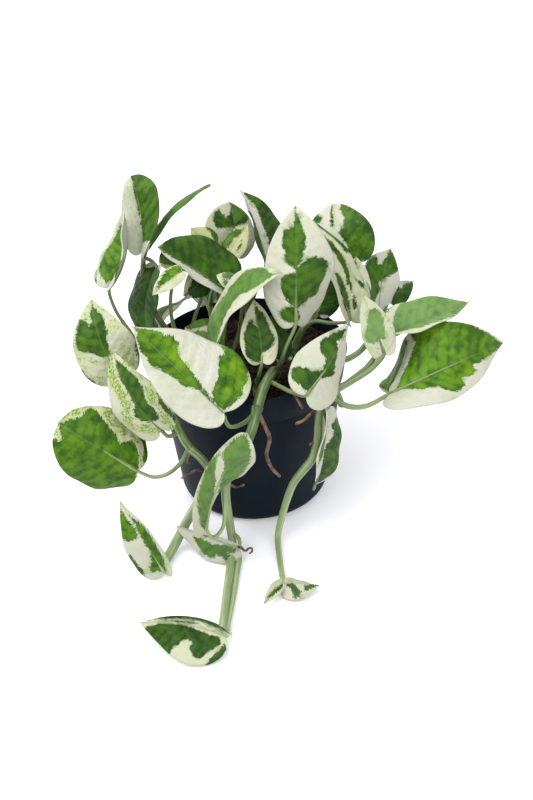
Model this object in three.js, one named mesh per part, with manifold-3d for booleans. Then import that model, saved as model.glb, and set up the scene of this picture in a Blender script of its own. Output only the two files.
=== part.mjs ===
// A variegated pothos in a plain nursery pot, in millimetres, +Z up.
// The origin is the centre of the pot's underside. The plant's front is towards -Y.
import * as THREE from 'three';
import { mergeVertices } from 'three/addons/utils/BufferGeometryUtils.js';
import Module from 'manifold-3d';

const wasm = await Module();
wasm.setup();

// Pot: a thin tapered wall with a rim band and a rounded foot
const POT_HEIGHT = 102;
const RIM_RADIUS = 60;
const BASE_RADIUS = 47.5;
const WALL = 1.5;
const BAND_HEIGHT = 18;
const BAND_STEP = 0.8;
const RIM_BEVEL = 0.6;
const FOOT_ROUND = 7;
const FOOT_STEPS = 3;
const FLOOR = 2.6;
const POT_SEGMENTS = 40;
const DRAIN_HOLES = 6;
const DRAIN_RADIUS = 4;
const DRAIN_CIRCLE = 32;
const DRAIN_SIDES = 12;

// Soil: fills the pot to just under the rim
const SOIL_TOP = 91;
const SOIL_GAP = 0.35;
const SOIL_EDGE = 0.4;
const SOIL_SHOULDER = 8;
const SOIL_RINGS = [0.75, 0.5, 0.25];
const SOIL_SEGMENTS = 24;
// The soil's lumps: how high they are, how close together along X and Y, and their start
const SOIL_LUMP = { height: 1.1, x: 0.31, y: 0.27, start: 1 };
const SOIL_SWELL = { height: 0.66, x: 0.12, y: -0.17, start: 2 };

// Each leafy stem stands in its own plain hole in the soil
const FOOT_RADIUS = 3;
const FOOT_BOTTOM = 72;
const FOOT_TOP = 96;
const HOLE_RADIUS = 3.75;
const HOLE_BOTTOM = 71;
const HOLE_TOP = 101;

// Leaves: one thin blade split into rows that run from the base to the tip
const BLADE = 0.7;
const LEAF_ROWS = 9;
const LEAF_COLUMNS = 2;
const VEIN_START = 1.5;
const WAVE = 0.9;
const WAVE_LEAF = 60;
const WAVE_COUNT = 2.2;
const WAVE_STEP = 0.37;
const WAVE_SHIFT = 0.3;
const PETIOLE_SIDES = 5;
const PETIOLE_TAPER = [1.1, 0.7];
const PETIOLE_REACH = 0.16;
const PETIOLE_DEPTH = [0.3, 0.2];
const STEM_SIDES = 7;
const ROOT_SIDES = 5;
const STEP_LENGTH = 11;
const SMOOTHING = 0.04;

// Half of a leaf's outline: share of the length, share of the half width. A blunt leaf
// is as wide at its base, and rounder towards the tip.
const POINTED_OUTLINE = [
  [0, 0], [-0.05, 0.2], [-0.055, 0.47], [0.02, 0.76], [0.18, 0.96],
  [0.37, 1], [0.58, 0.84], [0.78, 0.53], [0.92, 0.21], [1, 0],
];
const BLUNT_OUTLINE = [
  [0, 0], [-0.05, 0.2], [-0.055, 0.47], [0.02, 0.76], [0.18, 0.94],
  [0.38, 1], [0.6, 0.95], [0.8, 0.76], [0.95, 0.43], [1, 0],
];

// A leaf has the place of its base and tip, the widths of its left and right halves, and
// the way it faces: degrees round to the right, and degrees up. left and right are the
// halves' folds in degrees at the base and at the tip, curl is how far each half then
// rolls, arch bows the midrib out and sweep bows it sideways, as shares of the length.
// blunt is how round the tip is, 0 to 1, and stalk is the petiole's route to the
// base, and girth its radius.
const PLANT = {
  stem_front: {
    crown: [15, -22],
    shoots: [
      { radius: [3, 3], path: [[15, -22, 94], [14, -30, 102], [10, -44, 106], [6, -58, 107], [3, -67, 103]] },
      { radius: [2.9, 2.8], path: [[3, -67, 103], [0, -74, 95], [-4, -76, 85], [-11, -74, 71],
        [-16, -70, 59]] },
      { radius: [2.8, 2.4], path: [[-16, -70, 59], [-18, -66, 43], [-18, -64, 28], [-17, -64, 14],
        [-16, -69, 4.5], [-17, -84, 3.4], [-20, -112, 3.4], [-22.5, -138, 4.2]] },
    ],
    roots: [
      { radius: [1.3, 1], path: [[3, -69, 102], [6, -71, 94], [9, -71, 84], [7, -70, 71], [10, -70, 61],
        [14, -71, 56]] },
      { radius: [0.9, 0.7], path: [[-16, -68, 50], [-12, -69, 48], [-7, -71, 51]] },
      { radius: [0.9, 0.7], path: [[22, -62, 111], [25, -66, 107], [28, -69, 102]] },
      { radius: [0.8, 0.6], path: [[-12, -78, 9], [-10.5, -82, 11.5], [-8, -84, 10.5], [-6, -84, 13],
        [-4.2, -84, 12.5], [-4.2, -84, 10], [-5.8, -84, 8.5]] },
    ],
    leaves: [
      { name: 'front_left', base: [-16, -78, 108], tip: [-63, -48, 148], half: [20, 33], facing: [15, 58],
        left: [20, 20], right: [15, -20], arch: 0, stalk: [[3, -68, 101], [-6, -77, 99], [-13, -81, 101]] },
      { name: 'front_tall', base: [27, -39, 139], tip: [30, 3, 191], half: [19, 27], facing: [10, 30],
        left: [-30, 25], right: [-40, 25], arch: 0.12, sweep: -0.02,
        stalk: [[14, -30, 101], [18, -36, 113], [22, -40, 127]] },
      { name: 'front_inner', base: [20, -33, 112], tip: [13, -17, 132], half: [8, 8], facing: [40, 30],
        stalk: [[14, -29, 100], [17, -31, 106]] },
      { name: 'front_right', base: [30, -74, 114], tip: [56, -44, 141], half: [18, 17], facing: [15, 15],
        left: [-20, 5], right: [10, -45], arch: 0, sweep: 0.05,
        stalk: [[10, -44, 105], [17, -56, 108], [24, -67, 111]] },
      { name: 'front_folded', base: [-30.5, -80, 25], tip: [-2.5, -87, 100], half: [11, 17], facing: [-15, 20],
        left: [75, -5], right: [-130, 20], sweep: -0.045, blunt: 1,
        stalk: [[-18, -67, 50], [-19, -70, 36], [-21, -75, 22], [-27, -79, 18]] },
      { name: 'front_low', base: [-12, -78, 8], tip: [-49, -66, 17], half: [13, 2.5], facing: [0, 40],
        left: [15, -20], right: [10, 45], arch: 0.1, stalk: [[-16, -66, 9], [-12, -71, 9]] },
      { name: 'front_end', base: [-20.5, -145.2, 6], tip: [-68, -134, 8], half: [22, 5.5], facing: [0, 85],
        left: [0, 8], right: [65, 50], arch: 0.04, sweep: 0.03, girth: 1.7,
        stalk: [[-15, -74, 4.5], [-12.5, -80, 2.8], [-13.5, -92, 2.5], [-16, -112, 2.5], [-19, -132, 3.4]] },
    ],
  },
  stem_left: {
    crown: [-26, -30],
    shoots: [
      { radius: [3, 2.4], path: [[-26, -30, 94], [-33, -37, 104], [-41, -44, 107], [-47, -48, 99],
        [-44, -54, 86],
        [-40, -58, 76], [-37, -60, 71]] },
      { radius: [2.4, 3.1], path: [[-37, -60, 71], [-31, -62, 65], [-26, -63, 55], [-28, -64, 44],
        [-37, -64, 30],
        [-47, -64, 10], [-53, -74, 4.5], [-59, -87, 3.6]] },
    ],
    roots: [
      { radius: [0.9, 0.7], path: [[-28, -62, 56], [-34, -63, 57], [-39, -65, 56], [-43, -67, 55]] },
      { radius: [0.9, 0.7], path: [[-37, -61, 72], [-38, -62, 67], [-39, -63, 63]] },
    ],
    leaves: [
      { name: 'left_upper', base: [-77, -26, 101], tip: [-91, 0, 139], half: [19, 19], facing: [-10, 30],
        left: [0, 20], right: [0, 15], arch: 0.12, sweep: -0.04,
        stalk: [[-46, -49, 98], [-58, -44, 96], [-69, -34, 96]] },
      { name: 'left_middle', base: [-53, -58, 84], tip: [-77, -36, 124], half: [16, 19], facing: [-20, 20],
        left: [8, 10], right: [25, 22], arch: 0.12, sweep: -0.03, stalk: [[-42, -56, 81], [-49, -58, 79]] },
      { name: 'left_round', base: [-68, -66, 61], tip: [-111.5, -54, 89.5], half: [26, 27], facing: [5, 35],
        left: [-30, 10], right: [-30, 0], arch: 0.07, blunt: 0.9,
        stalk: [[-38, -60, 71], [-42, -62, 64], [-50, -64, 57], [-59, -66, 56]] },
      { name: 'left_end', base: [-56.5, -93, 5.4], tip: [-78.5, -79, 50], half: [13, 7], facing: [-5, 30],
        left: [15, 5], right: [18, 15], arch: 0.1, sweep: 0.02, stalk: [[-55, -78, 4], [-58, -84, 4.5]] },
    ],
  },
  stem_right: {
    crown: [32, -26],
    shoots: [
      { radius: [3, 2.6], path: [[32, -26, 94], [38, -34, 104], [45, -43, 107], [47, -52, 105],
        [43, -60, 102]] },
      { radius: [3, 1.7], path: [[43, -60, 102], [39, -65, 99], [38, -64, 88], [37, -64, 76], [34, -64, 63],
        [29, -63, 54], [23, -62, 44], [19, -61, 32], [15, -61, 16], [12, -66, 5], [12, -82, 3],
        [13, -103, 3.4]] },
      { radius: [1.9, 1.8], path: [[47, -53, 104], [50, -55, 98], [51, -57, 94]] },
    ],
    roots: [
      { radius: [1.1, 0.8], path: [[38, -64, 98], [33, -67, 97], [29, -69, 94], [24, -71, 93]] },
      { radius: [0.9, 0.7], path: [[37, -64, 75], [32, -66, 74]] },
    ],
    leaves: [
      { name: 'right_large', base: [79, -50, 95.3], tip: [148, -30, 114], half: [32, 20], facing: [0, 55],
        left: [-42, 60], right: [50, -30], arch: 0.09, sweep: 0.02, girth: 1.5,
        stalk: [[45, -57, 101], [54, -59, 95], [65, -56, 92]] },
      { name: 'right_upper', base: [81, -28, 120], tip: [130, -14, 133], half: [18, 11], facing: [0, 75],
        left: [25, 8], right: [60, 5], arch: 0.02, girth: 1.5,
        stalk: [[56, -52, 107], [66, -44, 110], [74, -35, 114]] },
      { name: 'right_small', base: [77, -39, 116], tip: [66, -24, 147], half: [9, 10], facing: [0, 35],
        girth: 1.9,
        stalk: [[47, -55, 103], [57, -52, 107], [69, -46, 111]] },
      { name: 'right_hanging', base: [41, -66, 97], tip: [35, -74, 50], half: [15, 15], facing: [35, 20],
        left: [-5, 15], right: [65, 45], arch: 0.1, sweep: 0.05, blunt: 1,
        stalk: [[43, -60, 101], [43, -64, 99]] },
      { name: 'right_end', base: [13, -106, 4.5], tip: [34, -109, 4], half: [5, 11], facing: [0, 70],
        left: [-10, -60], stalk: [[13, -98, 3.4], [13, -102, 4]] },
      { name: 'right_end_small', base: [13, -105, 4.5], tip: [1, -122, 4.5], half: [4, 4], facing: [0, 70],
        stalk: [[13, -98, 3.4], [13, -102, 4]] },
    ],
  },
  stem_rear_left: {
    crown: [-38, 6],
    shoots: [
      { radius: [2.6, 1.5], path: [[-38, 6, 94], [-46, 6, 106], [-56, 8, 124], [-61, 13, 144],
        [-60, 17, 156]] },
    ],
    roots: [],
    leaves: [
      { name: 'rear_left_tall', base: [-60, 18, 160], tip: [-65, 44, 196], half: [12, 18.5], facing: [-10, 20],
        left: [30, 60], right: [80, 10], arch: 0.1, sweep: 0.08, blunt: 0.7,
        stalk: [[-61, 13, 144], [-61, 16, 152]] },
      { name: 'rear_left_edge', base: [-58, 23, 160], tip: [-18, 48, 187], half: [9, 4.5], facing: [-70, 40],
        left: [-15, -15], right: [-15, -15], arch: 0.12, blunt: 0.6,
        stalk: [[-61, 13, 144], [-60, 17, 154]] },
      { name: 'rear_left_drooping', base: [-80, -2, 147], tip: [-69, 18, 187], half: [15, 15], facing: [-45, 5],
        left: [40, 20], right: [55, 65], arch: -0.1, sweep: 0.08,
        stalk: [[-42, 6, 100], [-54, -4, 107], [-65, -12, 114], [-70, -12, 124], [-77, -8, 136]] },
      { name: 'rear_left_hanging', base: [-52, 8, 154], tip: [-58, -14, 116], half: [13, 19], facing: [-55, 15],
        left: [30, -5], right: [5, 25], arch: 0.1, sweep: 0.03,
        stalk: [[-61, 15, 151], [-59, 14, 157], [-55, 11, 157]] },
    ],
  },
  stem_inner_left: {
    crown: [-30, -10],
    shoots: [
      { radius: [2.4, 1.8], path: [[-30, -10, 94], [-32, -8, 102], [-34, -5, 108]] },
    ],
    roots: [],
    leaves: [
      { name: 'inner_left_bright', base: [-36.5, -4, 157], tip: [-54, -13, 147], half: [5.5, 6.5],
        facing: [0, 45],
        stalk: [[-33, -6, 105], [-43, -4, 116], [-45, -3, 134], [-42, -1, 149]] },
      { name: 'inner_left_shaded', base: [-24, 18, 140], tip: [-38, 10, 133], half: [8, 9], facing: [0, 10],
        stalk: [[-33, -6, 105], [-33, 6, 116], [-27, 14, 130]] },
    ],
  },
  stem_arching: {
    crown: [-14, 4],
    shoots: [
      { radius: [2.4, 1.8], path: [[-14, 4, 94], [-15, 5, 104], [-15, 7, 110]] },
    ],
    roots: [],
    leaves: [
      { name: 'arching_dark', base: [-11, 4, 139], tip: [-50, 2, 170], half: [7, 27], facing: [-5, 45],
        left: [40, 45], right: [-10, -20], arch: -0.06, sweep: 0.02,
        stalk: [[-15, 6, 107], [-17, 5, 120], [-14, 4, 131]] },
      { name: 'arching_behind', base: [-26.5, 20, 153.5], tip: [-50.6, 12, 154.5], half: [9, 12],
        facing: [0, 50],
        left: [15, 10], right: [10, 10], arch: 0.06, blunt: 0.8,
        stalk: [[-15, 6, 107], [-17, 13, 122], [-19, 20, 140]] },
      { name: 'arching_pale', base: [-21, 27, 155], tip: [-31.5, 34, 166], half: [7, 10], facing: [0, 60],
        stalk: [[-15, 6, 107], [-15, 18, 120], [-17, 26, 141]] },
    ],
  },
  stem_middle: {
    crown: [-12, -18],
    shoots: [
      { radius: [2.4, 1.8], path: [[-12, -18, 94], [-13, -19, 100], [-13, -20, 105]] },
    ],
    roots: [],
    leaves: [
      { name: 'middle_bent', base: [-16, -28, 117], tip: [20, -35, 169], half: [18, 14], facing: [-45, 55],
        left: [10, 0], right: [65, 5], arch: 0.1, sweep: -0.15, stalk: [[-13, -20, 102], [-16, -28, 110]] },
      { name: 'middle_low', base: [-21, -12, 112], tip: [-38, -2, 118], half: [10, 14], facing: [0, 60],
        stalk: [[-13, -19, 100], [-16, -15, 107]] },
      { name: 'middle_small', base: [-6, -2, 146], tip: [-17, 2, 150], half: [5, 5], facing: [0, 45],
        stalk: [[-13, -19, 102], [-6, -10, 116], [-3, -4, 134]] },
    ],
  },
  stem_low: {
    crown: [4, -38],
    shoots: [
      { radius: [2.4, 1.8], path: [[4, -38, 94], [4, -39, 99], [4, -40, 103]] },
    ],
    roots: [],
    leaves: [
      { name: 'low_dark', base: [7, -44, 118], tip: [4, -20, 145], half: [12, 10], facing: [10, 25],
        left: [22, 15], right: [22, 10], arch: 0, sweep: 0.02, stalk: [[4, -39, 100], [5, -43, 109]] },
    ],
  },
  stem_rear_middle: {
    crown: [0, 24],
    shoots: [
      { radius: [2.4, 1.8], path: [[0, 24, 94], [0, 25, 102], [0, 26, 110]] },
    ],
    roots: [],
    leaves: [
      { name: 'rear_middle_broad', base: [-6, 46, 140], tip: [-8, 68, 167], half: [24, 13], facing: [20, 20],
        left: [45, 15], right: [5, 30], arch: 0.15, stalk: [[0, 26, 107], [-1, 34, 118], [-4, 43, 130]] },
      { name: 'rear_middle_small', base: [-10, 28, 149], tip: [3, 40, 164], half: [7, 8], facing: [-20, 30],
        stalk: [[0, 25, 104], [1, 26, 122], [-5, 28, 140]] },
      { name: 'rear_middle_tall', base: [13, 26, 145], tip: [-1, 58, 179], half: [9, 20], facing: [30, 28],
        left: [55, 75], right: [0, 5], arch: 0.07, stalk: [[0, 26, 108], [5, 27, 122], [11, 26, 136]] },
    ],
  },
  stem_rear_right: {
    crown: [28, 8],
    shoots: [
      { radius: [2.6, 2], path: [[28, 8, 94], [31, 7, 102], [34, 5, 110]] },
    ],
    roots: [],
    leaves: [
      { name: 'rear_right_edge', base: [60, -16, 126], tip: [40, 24, 173], half: [9, 18], facing: [20, 25],
        left: [60, 60], right: [0, 0], stalk: [[33, 6, 107], [40, -2, 118], [50, -10, 121]] },
      { name: 'rear_right_wide', base: [64, 24, 143], tip: [56, 52, 169], half: [23, 20], facing: [-5, 35],
        left: [35, 20], right: [25, 35], arch: 0.15, sweep: -0.03,
        stalk: [[31, 7, 103], [44, 15, 114], [59, 22, 130]] },
      { name: 'rear_right_dark', base: [42, 0, 123], tip: [56, 14, 143], half: [10, 10], facing: [0, 35],
        stalk: [[33, 6, 107], [38, 3, 115]] },
    ],
  },
  stem_far_right: {
    crown: [42, -10],
    shoots: [
      { radius: [2.4, 1.6], path: [[42, -10, 94], [48, -20, 104], [56, -32, 109], [64, -32, 114],
        [71, -24, 118]] },
    ],
    roots: [],
    leaves: [
      { name: 'far_right_green', base: [80, 8, 119], tip: [90, 34, 146], half: [17, 14], facing: [20, 22],
        left: [60, -20], right: [-25, 30], arch: 0.05, sweep: -0.06,
        stalk: [[71, -25, 117], [76, -10, 117], [79, 2, 117]] },
      { name: 'far_right_dark', base: [88, 20, 119], tip: [104, 26, 127], half: [6, 8], facing: [0, 35],
        stalk: [[71, -25, 117], [78, -8, 114], [84, 8, 114]] },
      { name: 'far_right_cream', base: [68, 2, 129], tip: [67, 20, 149], half: [7, 7], facing: [0, 35],
        stalk: [[71, -25, 117], [74, -12, 121], [71, -2, 126]] },
    ],
  },
  stem_back_left: {
    crown: [-22, 36],
    shoots: [
      { radius: [2.4, 1.8], path: [[-22, 36, 94], [-23, 39, 102], [-24, 43, 107]] },
    ],
    roots: [],
    leaves: [
      { name: 'back_left_long', base: [-20, 66, 107], tip: [-26, 92, 74], half: [18, 18], facing: [-170, 40],
        arch: 0.15, stalk: [[-24, 42, 106], [-23, 54, 109]] },
      { name: 'back_left_side', base: [-46, 67, 97], tip: [-64, 84, 64], half: [16, 16], facing: [-140, 35],
        arch: 0.12, stalk: [[-24, 42, 104], [-28, 55, 106], [-37, 63, 104]] },
      { name: 'back_left_upper', base: [-19, 52, 121], tip: [-30, 74, 129], half: [12, 12], facing: [170, 60],
        arch: 0.12, stalk: [[-24, 42, 106], [-22, 45, 114]] },
    ],
  },
  stem_back_right: {
    crown: [24, 36],
    shoots: [
      { radius: [2.4, 1.8], path: [[24, 36, 94], [25, 39, 102], [26, 42, 108]] },
    ],
    roots: [],
    leaves: [
      { name: 'back_right_long', base: [32, 66, 110], tip: [36, 98, 86], half: [20, 20], facing: [180, 50],
        arch: 0.15, stalk: [[26, 42, 107], [29, 54, 112]] },
      { name: 'back_right_side', base: [54, 50, 110], tip: [76, 72, 82], half: [17, 17], facing: [130, 45],
        arch: 0.12, stalk: [[26, 41, 105], [40, 45, 111]] },
      { name: 'back_right_upper', base: [29, 52, 126], tip: [37, 80, 145], half: [17, 17], facing: [170, 55],
        arch: 0.12, stalk: [[26, 42, 107], [27, 47, 118]] },
    ],
  },
};

// What a leaf is like where the table doesn't say otherwise
const LEAF = { left: [12, 12], right: [12, 12], curl: [-25, -25], arch: 0.06, sweep: 0, blunt: 0, girth: 1.25 };
const LEAF_NAMES = Object.values(PLANT).flatMap(({ leaves }) => leaves.map(({ name }) => name));
const vector = (p) => new THREE.Vector3(...p);
const radians = THREE.MathUtils.degToRad;
const mix = (a, b, share) => a + (b - a) * share;

function material(color, roughness) {
  return new THREE.MeshStandardMaterial({ color, roughness, metalness: 0 });
}

const POT_MATERIAL = () => material(0x1b222b, 0.5);
const SOIL_MATERIAL = () => material(0x1d1611, 0.95);
const LEAF_MATERIAL = () => material(0x4f8a35, 0.4);

// A closed geometry as a solid, and a solid as a mesh
function solid(geometry) {
  const bare = geometry.clone();
  bare.deleteAttribute('normal');
  bare.deleteAttribute('uv');
  const merged = mergeVertices(bare, 1e-4);
  const vertProperties = new Float32Array(merged.attributes.position.array);
  const triVerts = new Uint32Array(merged.index.array);
  return new wasm.Manifold(new wasm.Mesh({ numProp: 3, vertProperties, triVerts }));
}

function mesh(body, name, finish) {
  const { vertProperties, triVerts } = body.getMesh();
  const geometry = new THREE.BufferGeometry();
  geometry.setAttribute('position', new THREE.BufferAttribute(vertProperties, 3));
  geometry.setIndex(new THREE.BufferAttribute(triVerts, 1));
  geometry.computeVertexNormals();
  const piece = new THREE.Mesh(geometry, finish);
  piece.name = name;
  return piece;
}

// A smooth curve through the outline's points, share 0 at the base and 1 at the tip
function outlinePoint(leaf, share) {
  const last = POINTED_OUTLINE.length - 1;
  const place = Math.min(Math.max(share, 0), 1) * last;
  const index = Math.min(Math.floor(place), last - 1);
  const f = place - index;
  const corner = (k, axis) => {
    const at = Math.min(Math.max(k, 0), last);
    return mix(POINTED_OUTLINE[at][axis], BLUNT_OUTLINE[at][axis], leaf.blunt);
  };
  return [0, 1].map((axis) => {
    const [a, b, c, d] = [-1, 0, 1, 2].map((step) => corner(index + step, axis));
    const bend = (2 * a - 5 * b + 4 * c - d) * f * f + (3 * b - a - 3 * c + d) * f ** 3;
    return 0.5 * (2 * b + (c - a) * f + bend);
  });
}

// A leaf with its defaults, its length and its three own directions
function settle(leaf) {
  const order = LEAF_NAMES.indexOf(leaf.name) + 1;
  const full = { ...LEAF, order, ...leaf };
  const base = vector(leaf.base);
  const along = vector(leaf.tip).sub(base);
  const length = along.length();
  along.normalize();
  const [yaw, pitch] = leaf.facing.map(radians);
  const up = new THREE.Vector3(Math.sin(yaw) * Math.cos(pitch), -Math.cos(yaw) * Math.cos(pitch), Math.sin(pitch));
  up.addScaledVector(along, -up.dot(along)).normalize();
  const across = along.clone().cross(up);
  return { ...full, base, along, length, up, across };
}

// The midrib's place and its directions at a share u of the length
function midrib(leaf, u) {
  const t = Math.max(u, 0);
  const bow = leaf.up.clone().multiplyScalar(leaf.arch).addScaledVector(leaf.across, leaf.sweep);
  const place = leaf.base.clone().addScaledVector(leaf.along, leaf.length * t);
  place.addScaledVector(bow, leaf.length * 4 * t * (1 - t));
  const ahead = leaf.along.clone().addScaledVector(bow, 4 * (1 - 2 * t)).normalize();
  if (u < 0) place.addScaledVector(ahead, leaf.length * u);
  const up = leaf.up.clone().addScaledVector(ahead, -leaf.up.dot(ahead)).normalize();
  return { place, ahead, up, across: ahead.clone().cross(up) };
}

// The blade's edge waves up and down, out of step on its two sides
function wave(leaf, u, out) {
  const turns = WAVE_COUNT * u + WAVE_STEP * leaf.order + (out > 0 ? WAVE_SHIFT : 0);
  return (WAVE * leaf.length / WAVE_LEAF) * Math.abs(out) ** 3 * Math.sin(2 * Math.PI * turns);
}

// A point of the blade: u along the length, v across, and how far out to the edge it is
function bladePoint(leaf, u, v, out) {
  const { place, up, across } = midrib(leaf, u);
  const side = v < 0 ? 0 : 1;
  const reach = Math.abs(v) * leaf.half[side];
  const folds = side ? leaf.right : leaf.left;
  const fold = radians(mix(folds[0], folds[1], Math.min(Math.max(u, 0), 1)));
  const turn = radians(leaf.curl[side]) / leaf.half[side];
  const width = (Math.sin(fold + turn * reach) - Math.sin(fold)) / turn;
  const bend = (Math.cos(fold) - Math.cos(fold + turn * reach)) / turn;
  const rise = bend + wave(leaf, u, out);
  return place.addScaledVector(across, side ? width : -width).addScaledVector(up, rise);
}

// The blade's points in rows: the first and the last row are single points
function bladeRows(leaf) {
  const rows = [[bladePoint(leaf, 0, 0, 0)]];
  for (let i = 1; i < LEAF_ROWS; i += 1) {
    const share = i / LEAF_ROWS;
    const [u, v] = outlinePoint(leaf, share);
    const root = share ** VEIN_START;
    const row = [];
    for (let j = -LEAF_COLUMNS; j <= LEAF_COLUMNS; j += 1) {
      const out = j / LEAF_COLUMNS;
      row.push(bladePoint(leaf, mix(root, u, Math.abs(out)), v * out, out));
    }
    rows.push(row);
  }
  rows.push([bladePoint(leaf, 1, 0, 0)]);
  return rows;
}

// The triangles of one face, alike for both faces, as indices into the rows' points
function bladeTriangles() {
  const width = 2 * LEAF_COLUMNS + 1;
  const index = (i, j) => 1 + (i - 1) * width + j;
  const tip = 1 + (LEAF_ROWS - 1) * width;
  const faces = [];
  for (let j = 0; j < width - 1; j += 1) {
    faces.push([0, index(1, j + 1), index(1, j)]);
    faces.push([tip, index(LEAF_ROWS - 1, j), index(LEAF_ROWS - 1, j + 1)]);
  }
  for (let i = 1; i < LEAF_ROWS - 1; i += 1) {
    for (let j = 0; j < width - 1; j += 1) {
      const [a, b, c, d] = [index(i, j), index(i, j + 1), index(i + 1, j), index(i + 1, j + 1)];
      const leftHalf = j < LEAF_COLUMNS;
      faces.push(...(leftHalf ? [[a, b, c], [b, d, c]] : [[a, b, d], [a, d, c]]));
    }
  }
  const edge = [0];
  for (let i = 1; i < LEAF_ROWS; i += 1) edge.push(index(i, width - 1));
  edge.push(tip);
  for (let i = LEAF_ROWS - 1; i > 0; i -= 1) edge.push(index(i, 0));
  return { faces, edge };
}

const { faces: BLADE_FACES, edge: BLADE_EDGE } = bladeTriangles();

// A blade of even thickness: the rows' points moved out both ways, closed at the edge
function bladeGeometry(leaf) {
  const points = bladeRows(leaf).flat();
  const normals = points.map(() => new THREE.Vector3());
  for (const [a, b, c] of BLADE_FACES) {
    const one = points[b].clone().sub(points[a]);
    const two = points[c].clone().sub(points[a]);
    const normal = one.cross(two);
    [a, b, c].forEach((k) => normals[k].add(normal));
  }
  normals.forEach((normal) => normal.normalize());
  const sides = [0.5, -0.5].map((way) => points.map((p, k) => p.clone().addScaledVector(normals[k], way * BLADE)));
  const [top, under] = sides;
  const corners = [];
  for (const [a, b, c] of BLADE_FACES) {
    corners.push(top[a], top[b], top[c], under[a], under[c], under[b]);
  }
  BLADE_EDGE.forEach((a, k) => {
    const b = BLADE_EDGE[(k + 1) % BLADE_EDGE.length];
    corners.push(top[a], under[a], top[b], top[b], under[a], under[b]);
  });
  return new THREE.BufferGeometry().setFromPoints(corners);
}

// A limb: a round section drawn along a smooth route, from one radius to another
function limb(path, radii, sides) {
  const curve = new THREE.CatmullRomCurve3(path.map(vector), false, 'centripetal');
  const steps = Math.max(2, Math.round(curve.getLength() / STEP_LENGTH));
  const section = new THREE.Shape();
  for (let k = 0; k < sides; k += 1) {
    const angle = (2 * Math.PI * k) / sides;
    section[k ? 'lineTo' : 'moveTo'](Math.cos(angle), Math.sin(angle));
  }
  section.closePath();
  const geometry = new THREE.ExtrudeGeometry(section, { steps, depth: steps, bevelEnabled: false, curveSegments: 1 });
  const frames = curve.computeFrenetFrames(steps, false);
  const position = geometry.attributes.position;
  for (let k = 0; k < position.count; k += 1) {
    const ring = Math.round(position.getZ(k));
    const radius = mix(radii[0], radii[1], ring / steps);
    const point = curve.getPointAt(ring / steps);
    point.addScaledVector(frames.normals[ring], radius * position.getX(k));
    point.addScaledVector(frames.binormals[ring], radius * position.getY(k));
    position.setXYZ(k, point.x, point.y, point.z);
  }
  return solid(geometry);
}

// The petiole runs into the blade and on under the midrib for a short way
function petiole(leaf) {
  const under = (u, depth) => {
    const { place, up } = midrib(leaf, u);
    return place.addScaledVector(up, -depth).toArray();
  };
  const path = [...leaf.stalk, under(0, PETIOLE_DEPTH[0]), under(PETIOLE_REACH, PETIOLE_DEPTH[1])];
  return limb(path, PETIOLE_TAPER.map((share) => leaf.girth * share), PETIOLE_SIDES);
}

function foot(crown) {
  const height = FOOT_TOP - FOOT_BOTTOM;
  const geometry = new THREE.CylinderGeometry(FOOT_RADIUS, FOOT_RADIUS, height, STEM_SIDES);
  geometry.rotateX(Math.PI / 2);
  geometry.translate(crown[0], crown[1], (FOOT_TOP + FOOT_BOTTOM) / 2);
  return solid(geometry);
}

// One leafy stem: its foot, shoots, roots, petioles and blades grown together
function leafyStem(name) {
  const { crown, shoots, roots, leaves } = PLANT[name];
  let body = foot(crown);
  shoots.forEach(({ path, radius }) => { body = body.add(limb(path, radius, STEM_SIDES)); });
  roots.forEach(({ path, radius }) => { body = body.add(limb(path, radius, ROOT_SIDES)); });
  leaves.map(settle).forEach((leaf) => {
    body = body.add(petiole(leaf)).add(solid(bladeGeometry(leaf)));
  });
  return mesh(body.asOriginal().simplify(SMOOTHING), name, LEAF_MATERIAL());
}

// The wall's outer radius at a height, without the rim band's step
function wallRadius(z) {
  return mix(BASE_RADIUS, RIM_RADIUS - BAND_STEP, z / POT_HEIGHT);
}

function potProfile() {
  const bandBottom = POT_HEIGHT - BAND_HEIGHT;
  const profile = [[0, 0]];
  for (let k = 0; k <= FOOT_STEPS; k += 1) {
    const angle = (k / FOOT_STEPS) * (Math.PI / 2);
    const centre = wallRadius(FOOT_ROUND) - FOOT_ROUND;
    profile.push([centre + FOOT_ROUND * Math.sin(angle), FOOT_ROUND * (1 - Math.cos(angle))]);
  }
  profile.push([wallRadius(bandBottom), bandBottom]);
  profile.push([wallRadius(bandBottom) + BAND_STEP, bandBottom + BAND_STEP]);
  profile.push([RIM_RADIUS, POT_HEIGHT - RIM_BEVEL]);
  profile.push([RIM_RADIUS - RIM_BEVEL, POT_HEIGHT]);
  profile.push([RIM_RADIUS - WALL, POT_HEIGHT]);
  profile.push([RIM_RADIUS - WALL - RIM_BEVEL, POT_HEIGHT - RIM_BEVEL]);
  profile.push([wallRadius(bandBottom) - WALL, bandBottom]);
  profile.push([wallRadius(FOOT_ROUND) - WALL, FOOT_ROUND]);
  profile.push([wallRadius(FOOT_ROUND) - FOOT_ROUND, FLOOR]);
  profile.push([0, FLOOR]);
  return profile;
}

function turned(profile, segments) {
  const geometry = new THREE.LatheGeometry(profile.map(([r, z]) => new THREE.Vector2(r, z)), segments);
  geometry.rotateX(Math.PI / 2);
  return geometry;
}

function pot() {
  let body = solid(turned(potProfile(), POT_SEGMENTS));
  for (let k = 0; k < DRAIN_HOLES; k += 1) {
    const angle = (2 * Math.PI * k) / DRAIN_HOLES;
    const hole = new THREE.CylinderGeometry(DRAIN_RADIUS, DRAIN_RADIUS, 4 * FLOOR, DRAIN_SIDES);
    hole.rotateX(Math.PI / 2);
    hole.translate(DRAIN_CIRCLE * Math.cos(angle), DRAIN_CIRCLE * Math.sin(angle), 0);
    body = body.subtract(solid(hole));
  }
  return mesh(body, 'pot', POT_MATERIAL());
}

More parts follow.
